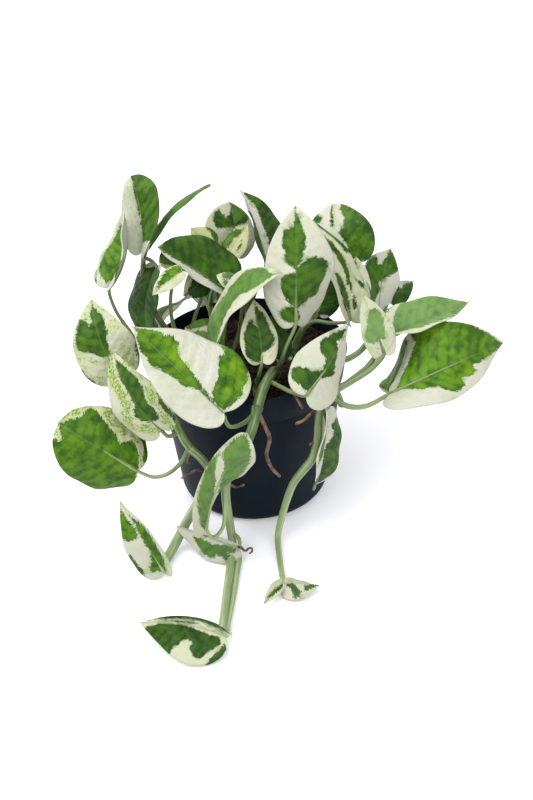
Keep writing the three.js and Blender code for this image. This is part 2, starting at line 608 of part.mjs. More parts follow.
// The soil's height: low lumps all over its top
function soilHeight(x, y) {
  const lump = Math.sin(x * SOIL_LUMP.x + SOIL_LUMP.start) * Math.cos(y * SOIL_LUMP.y);
  const swell = Math.sin(x * SOIL_SWELL.x + y * SOIL_SWELL.y + SOIL_SWELL.start);
  return SOIL_TOP + SOIL_LUMP.height * lump + SOIL_SWELL.height * swell;
}

function soil() {
  const bottom = FLOOR + SOIL_GAP;
  const inner = (z) => wallRadius(z) - WALL - SOIL_GAP;
  const top = inner(SOIL_TOP) - SOIL_EDGE;
  const profile = [[0, bottom], [inner(FOOT_ROUND) - FOOT_ROUND + WALL, bottom]];
  profile.push([inner(FOOT_ROUND) - SOIL_EDGE, SOIL_SHOULDER], [top, SOIL_TOP]);
  for (const share of SOIL_RINGS) profile.push([top * share, SOIL_TOP]);
  profile.push([0, SOIL_TOP]);
  const geometry = turned(profile, SOIL_SEGMENTS);
  const position = geometry.attributes.position;
  for (let k = 0; k < position.count; k += 1) {
    const [x, y, z] = [position.getX(k), position.getY(k), position.getZ(k)];
    if (z > SOIL_TOP - SOIL_EDGE) position.setZ(k, soilHeight(x, y));
  }
  let body = solid(geometry);
  for (const { crown } of Object.values(PLANT)) {
    const height = HOLE_TOP - HOLE_BOTTOM;
    const hole = new THREE.CylinderGeometry(HOLE_RADIUS, HOLE_RADIUS, height, STEM_SIDES);
    hole.rotateX(Math.PI / 2);
    hole.translate(crown[0], crown[1], HOLE_BOTTOM + height / 2);
    body = body.subtract(solid(hole));
  }
  return mesh(body, 'soil', SOIL_MATERIAL());
}

const plant = new THREE.Group();
plant.add(pot(), soil());
Object.keys(PLANT).forEach((name) => plant.add(leafyStem(name)));

export default plant;
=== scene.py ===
"""A variegated pothos in a plain nursery pot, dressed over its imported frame.

Sizes are written in millimetres and made into metres by MM. The leaves and stems are
placed as in the solid model; this script gives them their fine form, veins and markings.
"""

import math

import bmesh
import bpy
import numpy as np
from mathutils import Matrix


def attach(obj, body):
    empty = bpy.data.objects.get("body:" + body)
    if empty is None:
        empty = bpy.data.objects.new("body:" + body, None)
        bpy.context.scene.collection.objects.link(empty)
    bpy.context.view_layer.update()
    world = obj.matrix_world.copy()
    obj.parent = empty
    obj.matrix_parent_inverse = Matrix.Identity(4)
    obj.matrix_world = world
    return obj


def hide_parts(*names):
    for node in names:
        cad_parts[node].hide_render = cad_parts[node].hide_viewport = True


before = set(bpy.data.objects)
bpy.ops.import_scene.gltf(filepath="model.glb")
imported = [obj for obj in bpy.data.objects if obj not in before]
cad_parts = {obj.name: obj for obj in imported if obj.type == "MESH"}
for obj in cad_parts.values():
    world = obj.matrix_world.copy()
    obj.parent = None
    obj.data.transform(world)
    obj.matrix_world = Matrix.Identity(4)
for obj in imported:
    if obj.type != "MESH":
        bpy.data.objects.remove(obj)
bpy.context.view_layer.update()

MM = 0.001

# Camera: where it stands, which way its picture's right, up and back sides point, and a lens
# whose picture is 36 mm along its long side
CAMERA_PLACE = (0.0, -521.6, 423.9)
CAMERA_RIGHT = (0.99864, -0.04069, -0.03246)
CAMERA_UP = (0.04988, 0.57004, 0.82010)
CAMERA_BACK = (-0.01486, -0.82061, 0.57130)
LENS_MM = 45.0
SENSOR_MM = 36.0
NEAR_CLIP = 10

# Studio: the ground, the soft lights with their sides in metres and their watts, and the world
FLOOR_REACH = 3000
LIGHT_TARGET = (0, 0, 80)
LIGHTS = {
    "key": dict(place=(-520, -120, 1000), size=(1.0, 1.0), power=15.5),
    "fill": dict(place=(450, -800, 700), size=(1.2, 1.0), power=7),
    "back": dict(place=(200, 900, 800), size=(1.4, 0.8), power=6),
}
WORLD_COLOUR = (0.94, 0.95, 1.0, 1)
WORLD_STRENGTH = 0.58

# Pot
POT_HEIGHT = 102.0
RIM_RADIUS = 60.0
BASE_RADIUS = 47.5
POT_WALL = 1.5
POT_FLOOR = 2.6
BAND_HEIGHT = 18.0
BAND_STEP = 0.8
FOOT_ROUND = 7.0
# Rings: those of the foot's rounding, those of the wall above it with the gaps that they leave
# below and above them, and those of the band's step as shares of it
FOOT_RINGS = 10
WALL_RINGS = 12
WALL_GAPS = (6, 0.6)
STEP_RINGS = (0, 0.25, 0.75, 1)
# The rounding of the rim: how far in from its radius, and how far down from its top
RIM_ROUNDING = [(0.25, 2.2), (0, 0.9), (0.25, 0.2), (0.7, 0), (POT_WALL, 0.15), (POT_WALL + 0.3, 0.8)]
POT_SEGMENTS = 168
DRAIN_HOLES = 6
DRAIN_RADIUS = 4.0
DRAIN_CIRCLE = 32.0
SECTOR_STEPS = 12
WELD = 0.001

# Soil, its lumps with their height, how close together they are along X and Y, and their start
SOIL_TOP = 91.0
SOIL_REACH = 55.6
SOIL_LUMP = dict(height=1.1, x=0.31, y=0.27, start=1.0)
SOIL_SWELL = dict(height=0.66, x=0.12, y=-0.17, start=2.0)

# Crumbs: their sizes, their widths and thicknesses as shares of that, and how uneven they are
CRUMBS = 4200
CRUMB_DRAW = 7
CRUMB_SIZE = (0.5, 1.9)
CRUMB_WIDTH = (0.5, 1)
CRUMB_THICKNESS = (0.35, 0.8)
CRUMB_UNEVEN = (0.7, 1.2)
CRUMB_TILT = 0.9
CRUMB_LIFT = 0.3
CRUMB_CORNERS = [(1, 0, 0), (-1, 0, 0), (0, 1, 0), (0, -1, 0), (0, 0, 1), (0, 0, -1)]
CRUMB_SIDES = [(0, 2, 4), (2, 1, 4), (1, 3, 4), (3, 0, 4), (2, 0, 5), (1, 2, 5), (3, 1, 5), (0, 3, 5)]

# Limbs: the sides round each and the spacing of its rings
FOOT_MESH = dict(sides=12, spacing=3)
SHOOT_MESH = dict(sides=14, spacing=1.6)
ROOT_MESH = dict(sides=8, spacing=1.5)
PETIOLE_MESH = dict(sides=10, spacing=1.8)
RIB_MESH = dict(sides=8, spacing=2.5)
CURVE_STEPS = 24
# How far a limb's pointed ends reach past its first and last ring, as shares of its radius
LIMB_ENDS = (0.4, 0.8)
# Heights and radius of a stem's foot in the soil, and the swelling at a shoot's start
FOOT_HEIGHTS = (73, 82, 96)
FOOT_RADIUS = 3
SHOOT_SWELL = 0.6
SWELL_LENGTH = 2.5
# How uneven a root is, how fast that changes from ring to ring and round it, and the side
# that a limb's first ring starts from
ROOT_WOBBLE = 0.18
WOBBLE_TURNS = (3.1, 1.7, 2)
START_SIDE = (0.3, 0.2, 1.0)
# Girths of the petiole and of the midrib's ridge as shares of the leaf's girth, the ridge's
# radius at the tip, and its places along the leaf with their depths under the blade
PETIOLE_GIRTHS = (1.15, 0.75)
RIB_GIRTH = 0.8
RIB_TIP = 0.15
RIB_SHARES = (0, 0.12, 0.3, 0.55, 0.8)
RIB_DEPTHS = (0.5, 0.75, 0.75, 0.65, 0.5)
# The kinds of limb, as the stems' material tells them apart
STEM, PETIOLE, ROOT = 0, 1, 2

# Blades: their thickness, how far their halves curl down in degrees, and their grid with the
# shares of the length where it starts and ends
BLADE = 0.5
CURL = -25
LEAF_ROWS = 56
LEAF_COLUMNS = 18
LEAF_ENDS = (0.004, 0.996)
# Side veins: how many, and how they leave the midrib, slant and bend towards the tip
SIDE_VEINS = 9
VEIN_START = 1.5
VEIN_SLANT = 0.26
VEIN_BEND = 1.4
# Relief, as heights on a leaf of LEAF_SIZE: the quilting between the veins, the midrib's
# groove, the ripples of the rim and a slow swell
LEAF_SIZE = 60.0
QUILT = 0.32
GROOVE = 0.55
GROOVE_WIDTH = 1.3
RIPPLE = 0.9
RIPPLES = 2.2
RIPPLE_STEP = 0.37
RIPPLE_SHIFT = 0.3
SWELL = 0.5
SWELL_TURNS = (5, 2.6)
# How steeply the relief rises from nothing at the base, the tip and the midrib, how much of it
# the base already has, and where the groove ends as a share of the length
BASE_RISE = 6
BASE_RELIEF = 0.6
TIP_RISE = 3
RIB_RISE = 4
GROOVE_END = 1.05
# Half of a leaf's outline: its share of the length and of the half width
POINTED_OUTLINE = [
    (0, 0), (-0.05, 0.2), (-0.055, 0.47), (0.02, 0.76), (0.18, 0.96),
    (0.37, 1), (0.58, 0.84), (0.78, 0.53), (0.92, 0.21), (1, 0),
]
BLUNT_OUTLINE = [
    (0, 0), (-0.05, 0.2), (-0.055, 0.47), (0.02, 0.76), (0.18, 0.94),
    (0.38, 1), (0.6, 0.95), (0.8, 0.76), (0.95, 0.43), (1, 0),
]

# Markings: the steps along each side of a patch, how far a patch reaches past the rim, and how
# far apart the leaves' noises lie
PATCH_STEPS = 6
PAST_RIM = 3
NOISE_STEP = 13.7
MIDRIB_PATCH = [(10, -25), (35, -60), (60, -45), (85, -40), (105, 0), (85, 35), (60, 60), (40, 35), (20, 40)]
ALL_GREEN = [(-100, -200), (200, -200), (200, 200), (-100, 200)]

# Leaf colours. Where there are two, a leaf's tone chooses between them
DARK_GREENS = (0.01, 0.032, 0.004), (0.03, 0.09, 0.004)
LIGHT_GREENS = (0.025, 0.073, 0.007), (0.09, 0.205, 0.007)
GREY_GREENS = (0.1, 0.17, 0.07), (0.2, 0.32, 0.06)
CREAMS = (0.45, 0.448, 0.4), (0.41, 0.42, 0.2)
SUNLIT_GREEN = (0.17, 0.31, 0.012)
VEIN_GREEN = (0.012, 0.045, 0.004)
PALE_GREEN = (0.17, 0.29, 0.1)
WHITE_TINT = (0.38, 0.42, 0.25)
WHITE_VEIN = (0.33, 0.38, 0.22)
FRECKLED_WHITE = (0.34, 0.43, 0.13)
SPECK_GREEN = (0.14, 0.23, 0.028)
RIB_GREEN = (0.13, 0.2, 0.05)
UNDERSIDE = (0.14, 0.19, 0.11)

# Stem colours
STEM_GREENS = (0.05, 0.1, 0.016), (0.14, 0.21, 0.05)
STEM_STREAK = (0.38, 0.43, 0.24)
STEM_RIGHT = (0.32, 0.42, 0.17)
# Painted shade for the stems high up among the leaves
STEM_CROWN_SHADE = (0.03, 0.07, 0.009)
STEM_LOWER = (0.42, 0.5, 0.27)
ROOT_BROWNS = (0.035, 0.019, 0.01), (0.2, 0.11, 0.05)

# Colours of the pot, the soil and the ground, each from its darker to its lighter
POT_COLOURS = (0.0025, 0.0065, 0.0125), (0.008, 0.014, 0.024)
SOIL_COLOURS = (0.007, 0.005, 0.004), (0.045, 0.025, 0.014)
GROUND_COLOURS = (0.9, 0.895, 0.93), (0.91, 0.905, 0.94)

# The shoots and aerial roots of each stem: the radius at both ends, and the route. A stem
# rises from the soil where its first shoot starts.
SHOOTS = {
    "stem_front": [
        ((3, 3), [(15, -22, 94), (14, -30, 102), (10, -44, 106), (6, -58, 107), (3, -67, 103)]),
        ((2.9, 2.8), [(3, -67, 103), (0, -74, 95), (-4, -76, 85), (-11, -74, 71), (-16, -70, 59)]),
        ((2.8, 2.4), [(-16, -70, 59), (-18, -66, 43), (-18, -64, 28), (-17, -64, 14), (-16, -69, 4.5),
         (-17, -84, 3.4), (-20, -112, 3.4), (-22.5, -138, 4.2)]),
    ],
    "stem_left": [
        ((3, 2.4), [(-26, -30, 94), (-33, -37, 104), (-41, -44, 107), (-47, -48, 99), (-44, -54, 86),
         (-40, -58, 76), (-37, -60, 71)]),
        ((2.4, 3.1), [(-37, -60, 71), (-31, -62, 65), (-26, -63, 55), (-28, -64, 44), (-37, -64, 30),
         (-47, -64, 10), (-53, -74, 4.5), (-59, -87, 3.6)]),
    ],
    "stem_right": [
        ((3, 2.6), [(32, -26, 94), (38, -34, 104), (45, -43, 107), (47, -52, 105), (43, -60, 102)]),
        ((3, 1.7), [(43, -60, 102), (39, -65, 99), (38, -64, 88), (37, -64, 76), (34, -64, 63),
         (29, -63, 54), (23, -62, 44), (19, -61, 32), (15, -61, 16), (12, -66, 5), (12, -82, 3),
         (13, -103, 3.4)]),
        ((1.9, 1.8), [(47, -53, 104), (50, -55, 98), (51, -57, 94)]),
    ],
    "stem_rear_left": [
        ((2.6, 1.5), [(-38, 6, 94), (-46, 6, 106), (-56, 8, 124), (-61, 13, 144), (-60, 17, 156)]),
    ],
    "stem_inner_left": [((2.4, 1.8), [(-30, -10, 94), (-32, -8, 102), (-34, -5, 108)])],
    "stem_arching": [((2.4, 1.8), [(-14, 4, 94), (-15, 5, 104), (-15, 7, 110)])],
    "stem_middle": [((2.4, 1.8), [(-12, -18, 94), (-13, -19, 100), (-13, -20, 105)])],
    "stem_low": [((2.4, 1.8), [(4, -38, 94), (4, -39, 99), (4, -40, 103)])],
    "stem_rear_middle": [((2.4, 1.8), [(0, 24, 94), (0, 25, 102), (0, 26, 110)])],
    "stem_rear_right": [((2.6, 2), [(28, 8, 94), (31, 7, 102), (34, 5, 110)])],
    "stem_far_right": [
        ((2.4, 1.6), [(42, -10, 94), (48, -20, 104), (56, -32, 109), (64, -32, 114), (71, -24, 118)]),
    ],
    "stem_back_left": [((2.4, 1.8), [(-22, 36, 94), (-23, 39, 102), (-24, 43, 107)])],
    "stem_back_right": [((2.4, 1.8), [(24, 36, 94), (25, 39, 102), (26, 42, 108)])],
}
ROOTS = {
    "stem_front": [
        ((1.3, 1), [(3, -69, 102), (6, -71, 94), (9, -71, 84), (7, -70, 71), (10, -70, 61), (14, -71, 56)]),
        ((0.9, 0.7), [(-16, -68, 50), (-12, -69, 48), (-7, -71, 51)]),
        ((0.9, 0.7), [(22, -62, 111), (25, -66, 107), (28, -69, 102)]),
        ((0.8, 0.6), [(-12, -78, 9), (-10.5, -82, 11.5), (-8, -84, 10.5), (-6, -84, 13), (-4.2, -84, 12.5),
         (-4.2, -84, 10), (-5.8, -84, 8.5)]),
    ],
    "stem_left": [
        ((0.9, 0.7), [(-28, -62, 56), (-34, -63, 57), (-39, -65, 56), (-43, -67, 55)]),
        ((0.9, 0.7), [(-37, -61, 72), (-38, -62, 67), (-39, -63, 63)]),
    ],
    "stem_right": [
        ((1.1, 0.8), [(38, -64, 98), (33, -67, 97), (29, -69, 94), (24, -71, 93)]),
        ((0.9, 0.7), [(37, -64, 75), (32, -66, 74)]),
    ],
}

# A leaf has the place of its base and tip, the widths of its left and right halves, and the
# way it faces: degrees round to the right, and degrees up. left and right are the halves'
# folds in degrees at the base and at the tip, arch bows the midrib out and sweep bows it
# sideways, as shares of the length, and blunt is how round the tip is. stalk is the petiole's
# route to the base, and girth its radius. tone is how bright the green is, how cream the white
# is and how speckled the leaf is, and pale is how far the green turns grey. The brightness is
# partly the leaf's own green and partly painted shade, set low on leaves that lie in shadow.
# green holds the outlines of the green patches, in hundredths: from base to tip, and from the
# midrib to the left rim at -100 or the right rim at 100. The name starts with the name of the
# leaf's stem.
LEAF_DEFAULTS = dict(
    left=(12, 12), right=(12, 12), arch=0.06, sweep=0, blunt=0, girth=1.25,
    tone=(0.5, 0.25, 0.3), pale=0.0, green=[MIDRIB_PATCH],
)
LEAVES = {
    "front_left": dict(
        base=(-16, -78, 108), tip=(-63, -48, 148), half=(20, 33), facing=(15, 58), left=(20, 20),
        right=(15, -20), arch=0, tone=(0.85, 0.1, 0.25),
        stalk=[(3, -68, 101), (-6, -77, 99), (-13, -81, 101)],
        green=[
            [(102, 0), (93, 80), (86, 85), (80, 73), (79, 58), (77, 80), (75, 63), (72, 60), (71, 40),
             (68, 25), (60, 16), (50, 12), (40, 8), (20, 5), (20, -3), (42, -3), (47, -12), (54, -33),
             (58, -25), (63, -38), (69, -50), (72, -75), (76, -72), (79, -90), (87, -95)],
            [(10, 5), (23, 5), (35, 15), (43, 42), (50, 60), (53, 70), (53, 85), (57, 95), (52, 105),
             (44, 105), (38, 98), (34, 93), (31, 80), (26, 80), (19, 62), (12, 45)],
        ]),
    "front_tall": dict(
        base=(27, -39, 139), tip=(30, 3, 191), half=(19, 27), facing=(10, 30), left=(-30, 25),
        right=(-40, 25), arch=0.12, sweep=-0.02, tone=(0.38, 0.2, 0.15),
        stalk=[(14, -30, 101), (18, -36, 113), (22, -40, 127)],
        green=[
            [(102, 0), (91, 45), (84, 36), (78, 37), (70, 24), (69, 16), (66, 18), (61, 6), (57, 0),
             (58, -7), (61, -25), (64, -40), (68, -38), (70, -57), (73, -63), (78, -70), (84, -30),
             (90, -20)],
            [(59, 4), (64, 22), (66, 44), (66, 65), (64.5, 78), (62, 79), (56, 73), (50, 66), (44, 62),
             (40, 42), (31, 22), (23, 5), (27, -4), (33, -22), (40, -38), (46, -46), (49, -45), (54, -44),
             (55, -20), (55, -7)],
            [(27, -4), (32, -30), (35, -57), (32, -70), (28, -75), (20, -63), (5, -30), (13, 35), (22, 30)],
        ]),
    # Painted shade: this leaf lies in deep shadow under the others, so it is all green at the darkest tone.
    "front_inner": dict(
        base=(20, -33, 112), tip=(13, -17, 132), half=(8, 8), facing=(40, 30), tone=(0.0, 0.4, 0),
        stalk=[(14, -29, 100), (17, -31, 106)], green=[ALL_GREEN]),
    "front_right": dict(
        base=(30, -74, 114), tip=(56, -44, 141), half=(18, 17), facing=(15, 15), left=(-20, 5),
        right=(10, -45), arch=0, sweep=0.05, tone=(0.25, 0.2, 0.15),
        stalk=[(10, -44, 105), (17, -56, 108), (24, -67, 111)],
        green=[[(100, -20), (86, -75), (80, -80), (73, -85), (68, -70), (64, -47), (62, -20), (57, -12),
                (50, -8), (45, -30), (46, -52), (45, -78), (42, -95), (37, -93), (31, -78), (25, -50),
                (12, -15), (5, 5), (15, 5), (28, 2), (41, 2), (48, 20), (57, 42), (66, 22), (76, 3),
                (79, -25), (88, -10)]]),
    "front_folded": dict(
        base=(-30.5, -80, 25), tip=(-2.5, -87, 100), half=(11, 17), facing=(-15, 20), left=(75, -5),
        right=(-130, 20), sweep=-0.045, blunt=1, tone=(0.55, 0.3, 0.3), pale=0.4,
        stalk=[(-18, -67, 50), (-19, -70, 36), (-21, -75, 22), (-27, -79, 18)],
        green=[
            [(72, -102), (64, -92), (55, -82), (48, -72), (40, -60), (30, -50), (20, -35), (17, -15),
             (24, 2), (40, 2), (55, 2), (60, -10), (66, -20), (70, -50), (76, -85)],
            [(78, -70), (86, -85), (95, -85), (100, -30), (99, 40), (93, 75), (83, 80), (74, 80), (64, 85),
             (55, 80), (48, 55), (50, 35), (57, 20), (63, 8), (72, -2), (77, -25)],
        ]),
    "front_low": dict(
        base=(-12, -78, 8), tip=(-49, -66, 17), half=(13, 2.5), facing=(0, 40), left=(15, -20),
        right=(10, 45), arch=0.1, tone=(0.4, 0.15, 0.1), pale=0.3, stalk=[(-16, -66, 9), (-12, -71, 9)],
        green=[
            [(77, -30), (70, -18), (62, -20), (55, -24), (50, -18), (40, -10), (25, -10), (15, -30),
             (25, -50), (36, -50), (30, -75), (32, -87), (37, -93), (41, -82), (44, -68), (49, -63),
             (50, -78), (54, -86), (60, -86), (66, -75), (72, -55)],
            [(75, 30), (60, 35), (55, 15), (60, 10), (70, 10)],
        ]),
    # Its green tone is lowered as painted shade, to hold back the light on its upturned face.
    "front_end": dict(
        base=(-20.5, -145.2, 6), tip=(-68, -134, 8), half=(22, 5.5), facing=(0, 85), left=(0, 8),
        right=(65, 50), arch=0.04, sweep=0.03, girth=1.7, tone=(0.1, 0.4, 0.2),
        stalk=[(-15, -74, 4.5), (-12.5, -80, 2.8), (-13.5, -92, 2.5), (-16, -112, 2.5), (-19, -132, 3.4)],
        green=[
            [(87, 100), (74, 105), (50, 105), (30, 95), (22, 80), (30, 65), (42, 62), (55, 66), (75, 66)],
            [(78, 40), (62, 50), (50, 45), (55, 30), (68, 25)],
            [(90, -50), (84, -5), (72, 3), (64, 0), (56, -3), (49, -6), (35, -15), (22, -20), (21, -50),
             (30, -60), (37, -66), (43, -84), (48, -82), (52, -68), (53, -56), (50, -45), (55, -40),
             (60, -50), (65, -75), (66, -105), (80, -110), (90, -105)],
            [(17, -70), (15, -105), (28, -105), (40, -105), (37, -87), (30, -75), (22, -68)],
        ]),
    "left_upper": dict(
        base=(-77, -26, 101), tip=(-91, 0, 139), half=(19, 19), facing=(-10, 30), left=(0, 20),
        right=(0, 15), arch=0.12, sweep=-0.04, tone=(0.35, 0.35, 0.75),
        stalk=[(-46, -49, 98), (-58, -44, 96), (-69, -34, 96)],
        green=[
            [(96, -10), (93, 30), (87, 50), (79, 62), (73, 45), (68, 40), (60, 22), (53, 18), (46, 15),
             (41, 3), (45, -12), (53, -35), (57, -55), (61, -85), (70, -88), (79, -93), (80, -55), (76, -33),
             (80, -20), (86, -35)],
            [(55, 102), (45, 90), (36, 93), (35, 102)],
            # Painted shade: this strip of green along the left rim stands for the shadow lying there.
            [(48, -95), (36, -93), (34, -105), (50, -105)],
        ]),
    "left_middle": dict(
        base=(-53, -58, 84), tip=(-77, -36, 124), half=(16, 19), facing=(-20, 20), left=(8, 10),
        right=(25, 22), arch=0.12, sweep=-0.03, tone=(0.35, 0.4, 1.0),
        stalk=[(-42, -56, 81), (-49, -58, 79)],
        green=[
            [(102, 0), (93, 35), (86, 70), (77, 77), (72, 78), (64, 66), (58, 50), (52, 40), (46, 50),
             (42, 52), (35, 45), (30, 20), (26, 3), (33, -15), (40, -33), (44, -28), (45, -36), (50, -28),
             (52, -20), (52, -4), (59, -6), (65, -2), (72, -6), (79, -15), (88, -25)],
            [(56, 90), (48, 72), (40, 78), (30, 95), (35, 100), (46, 92)],
        ]),
    "left_round": dict(
        base=(-68, -66, 61), tip=(-111.5, -54, 89.5), half=(26, 27), facing=(5, 35), left=(-30, 10),
        right=(-30, 0), arch=0.07, blunt=0.9, tone=(0.75, 0.6, 1.0),
        stalk=[(-38, -60, 71), (-42, -62, 64), (-50, -64, 57), (-59, -66, 56)],
        green=[
            [(52, 92), (44, 80), (33, 85), (22, 70), (10, 72), (2, 80), (5, 110), (50, 110)],
            [(81, 88), (78, 92), (74, 80), (69, 65), (62, 52), (53, 42), (50, 33), (47, 45), (43, 62),
             (38, 62), (28, 52), (20, 42), (5, 20), (2, -20), (10, -60), (15, -105), (35, -110), (60, -110),
             (84, -110), (90, -105), (90, -80), (87, -72), (87, -45), (91, -50), (96, -50), (102, 0),
             (97, 50), (93, 50), (91, 62), (88, 50), (85, 62), (83, 60), (82, 75)],
        ]),
    "left_end": dict(
        base=(-56.5, -93, 5.4), tip=(-78.5, -79, 50), half=(13, 7), facing=(-5, 30), left=(15, 5),
        right=(18, 15), arch=0.1, sweep=0.02, tone=(0.7, 0.15, 0.4), stalk=[(-55, -78, 4), (-58, -84, 4.5)],
        green=[
            [(90, -80), (84, -110), (75, -115), (70, -102), (67, -65), (66, -30), (70, -15), (77, -8),
             (83, -25), (87, -50)],
            [(85, 40), (80, 60), (72, 85), (63, 80), (53, 72), (45, 70), (33, 55), (15, 40), (5, 0),
             (15, -30), (27, -40), (33, -60), (38, -50), (40, -20), (46, -12), (48, 5), (56, -6), (67, 0),
             (76, 5)],
            [(58, -85), (50, -85), (42, -80), (38, -95), (45, -105), (57, -100)],
        ]),
    "right_large": dict(
        base=(79, -50, 95.3), tip=(148, -30, 114), half=(32, 20), facing=(0, 55), left=(-42, 60),
        right=(50, -30), arch=0.09, sweep=0.02, girth=1.5, tone=(1.0, 0.15, 0.2),
        stalk=[(45, -57, 101), (54, -59, 95), (65, -56, 92)],
        green=[
            [(10, 2), (30, 20), (40, 35), (46, 42), (53, 47), (54, 60), (58, 75), (61, 85), (65, 80),
             (65, 55), (70, 68), (74, 65), (74, 42), (83, 55), (89, 70), (95, 90), (105, 0), (97, -70),
             (90, -90), (80, -96), (72, -110), (60, -110), (56, -95), (55, -72), (50, -62), (44, -50),
             (36, -38), (25, -20)],
            [(2, -40), (12, -36), (30, -48), (42, -66), (53, -88), (54, -110), (20, -110), (0, -105),
             (-5, -80)],
        ]),
    "right_upper": dict(
        base=(81, -28, 120), tip=(130, -14, 133), half=(18, 11), facing=(0, 75), left=(25, 8), right=(60, 5),
        arch=0.02, girth=1.5, tone=(0.55, 0.4, 0.3), pale=0.6,
        stalk=[(56, -52, 107), (66, -44, 110), (74, -35, 114)],
        green=[
            [(103, 0), (93, -105), (60, -105), (53, -97), (48, -83), (42, -68), (35, -50), (22, -20),
             (15, 10), (30, 40), (42, 62), (55, 75), (68, 83), (80, 95), (93, 105)],
            [(36, -105), (40, -92), (46, -95), (50, -105)],
        ]),
    "right_small": dict(
        base=(77, -39, 116), tip=(66, -24, 147), half=(9, 10), facing=(0, 35), girth=1.9,
        tone=(0.55, 0.2, 0.6), pale=0.75, stalk=[(47, -55, 103), (57, -52, 107), (69, -46, 111)],
        green=[[(81, 5), (80, 35), (77, 72), (71, 80), (65, 70), (58, 53), (50, 45), (43, 40), (41, 15),
                (40, -10), (43, -50), (48, -72), (56, -85), (62, -58), (70, -40), (77, -22)]]),
    "right_hanging": dict(
        base=(41, -66, 97), tip=(35, -74, 50), half=(15, 15), facing=(35, 20), left=(-5, 15), right=(65, 45),
        arch=0.1, sweep=0.05, blunt=1, tone=(0.15, 0.1, 0.2), stalk=[(43, -60, 101), (43, -64, 99)],
        green=[
            [(10, 30), (22, 75), (36, 85), (50, 95), (62, 85), (60, 50), (48, 35), (35, 30), (20, 15)],
            [(37, -35), (36, -80), (38, -105), (60, -105), (70, -105), (80, -105), (95, -60), (102, 0),
             (85, 5), (68, -3), (60, -2), (54, -10), (50, -32), (47, -52), (44, -50), (41, -42)],
            [(73, 50), (72, 105), (90, 105), (97, 20), (85, 30)],
        ]),
    "right_end": dict(
        base=(13, -106, 4.5), tip=(34, -109, 4), half=(5, 11), facing=(0, 70), left=(-10, -60),
        tone=(0.15, 0.3, 0.2), pale=0.2, stalk=[(13, -98, 3.4), (13, -102, 4)],
        green=[
            [(10, 10), (35, 0), (52, 12), (63, 50), (62, 85), (52, 95), (50, 60), (40, 35), (20, 25)],
            [(103, 0), (70, 10), (68, 60), (75, 65), (90, 50)],
        ]),
    "right_end_small": dict(
        base=(13, -105, 4.5), tip=(1, -122, 4.5), half=(4, 4), facing=(0, 70),
        stalk=[(13, -98, 3.4), (13, -102, 4)],
        green=[[(20, -20), (50, -60), (80, -40), (103, 0), (80, 30), (50, 20)]]),
    "rear_left_tall": dict(
        base=(-60, 18, 160), tip=(-65, 44, 196), half=(12, 18.5), facing=(-10, 20), left=(30, 60),
        right=(80, 10), arch=0.1, sweep=0.08, blunt=0.7, tone=(0.4, 0.1, 0.5),
        stalk=[(-61, 13, 144), (-61, 16, 152)],
        green=[[(103, 0), (103, 110), (45, 110), (40, 70), (34, 40), (30, 15), (36, 2), (45, -5), (55, -3),
                (70, -12), (85, -20), (93, -15)]]),
    "rear_left_edge": dict(
        base=(-58, 23, 160), tip=(-18, 48, 187), half=(9, 4.5), facing=(-70, 40), left=(-15, -15),
        right=(-15, -15), arch=0.12, blunt=0.6, tone=(0.35, 0.1, 0), pale=0.2,
        stalk=[(-61, 13, 144), (-60, 17, 154)],
        green=[[(30, -110), (26, 110), (103, 110), (105, 0), (103, -110)]]),
    "rear_left_drooping": dict(
        base=(-80, -2, 147), tip=(-69, 18, 187), half=(15, 15), facing=(-45, 5), left=(40, 20),
        right=(55, 65), arch=-0.1, sweep=0.08, tone=(0.8, 0.1, 0.3),
        stalk=[(-42, 6, 100), (-54, -4, 107), (-65, -12, 114), (-70, -12, 124), (-77, -8, 136)],
        green=[
            [(85, -35), (72, -15), (60, 0), (50, 5), (40, -5), (25, -10), (20, -40), (35, -78), (45, -90),
             (51, -88), (60, -88), (72, -80), (85, -70)],
            [(62, 50), (55, 105), (42, 105), (45, 50)],
            [(44, -105), (38, -95), (25, -93), (22, -105)],
        ]),
    "rear_left_hanging": dict(
        base=(-52, 8, 154), tip=(-58, -14, 116), half=(13, 19), facing=(-55, 15), left=(30, -5),
        right=(5, 25), arch=0.1, sweep=0.03, tone=(0.12, 0.2, 0),
        stalk=[(-61, 15, 151), (-59, 14, 157), (-55, 11, 157)], green=[ALL_GREEN]),
    "inner_left_bright": dict(
        base=(-36.5, -4, 157), tip=(-54, -13, 147), half=(5.5, 6.5), facing=(0, 45), tone=(0.95, 0.4, 0.2),
        stalk=[(-33, -6, 105), (-43, -4, 116), (-45, -3, 134), (-42, -1, 149)],
        green=[[(2, 5), (5, 80), (25, 92), (50, 85), (72, 75), (84, 45), (78, 10), (50, 2), (25, 0)]]),
    "inner_left_shaded": dict(
        base=(-24, 18, 140), tip=(-38, 10, 133), half=(8, 9), facing=(0, 10), tone=(0.05, 0.6, 0.3),
        stalk=[(-33, -6, 105), (-33, 6, 116), (-27, 14, 130)],
        green=[[(10, 0), (30, -110), (70, -110), (103, 0), (88, 40), (80, 35), (60, 50), (45, 55),
                (30, 60)]]),
    "arching_dark": dict(
        base=(-11, 4, 139), tip=(-50, 2, 170), half=(7, 27), facing=(-5, 45), left=(40, 45),
        right=(-10, -20), arch=-0.06, sweep=0.02, tone=(0.3, 0.15, 0),
        stalk=[(-15, 6, 107), (-17, 5, 120), (-14, 4, 131)],
        green=[[(103, 0), (90, 105), (50, 110), (20, 110), (0, 50), (0, -30), (20, -50), (40, -30),
                (60, -15), (75, -20), (90, -70)]]),
    "arching_behind": dict(
        base=(-26.5, 20, 153.5), tip=(-50.6, 12, 154.5), half=(9, 12), facing=(0, 50), left=(15, 10),
        right=(10, 10), blunt=0.8, tone=(0.75, 1.0, 0.5),
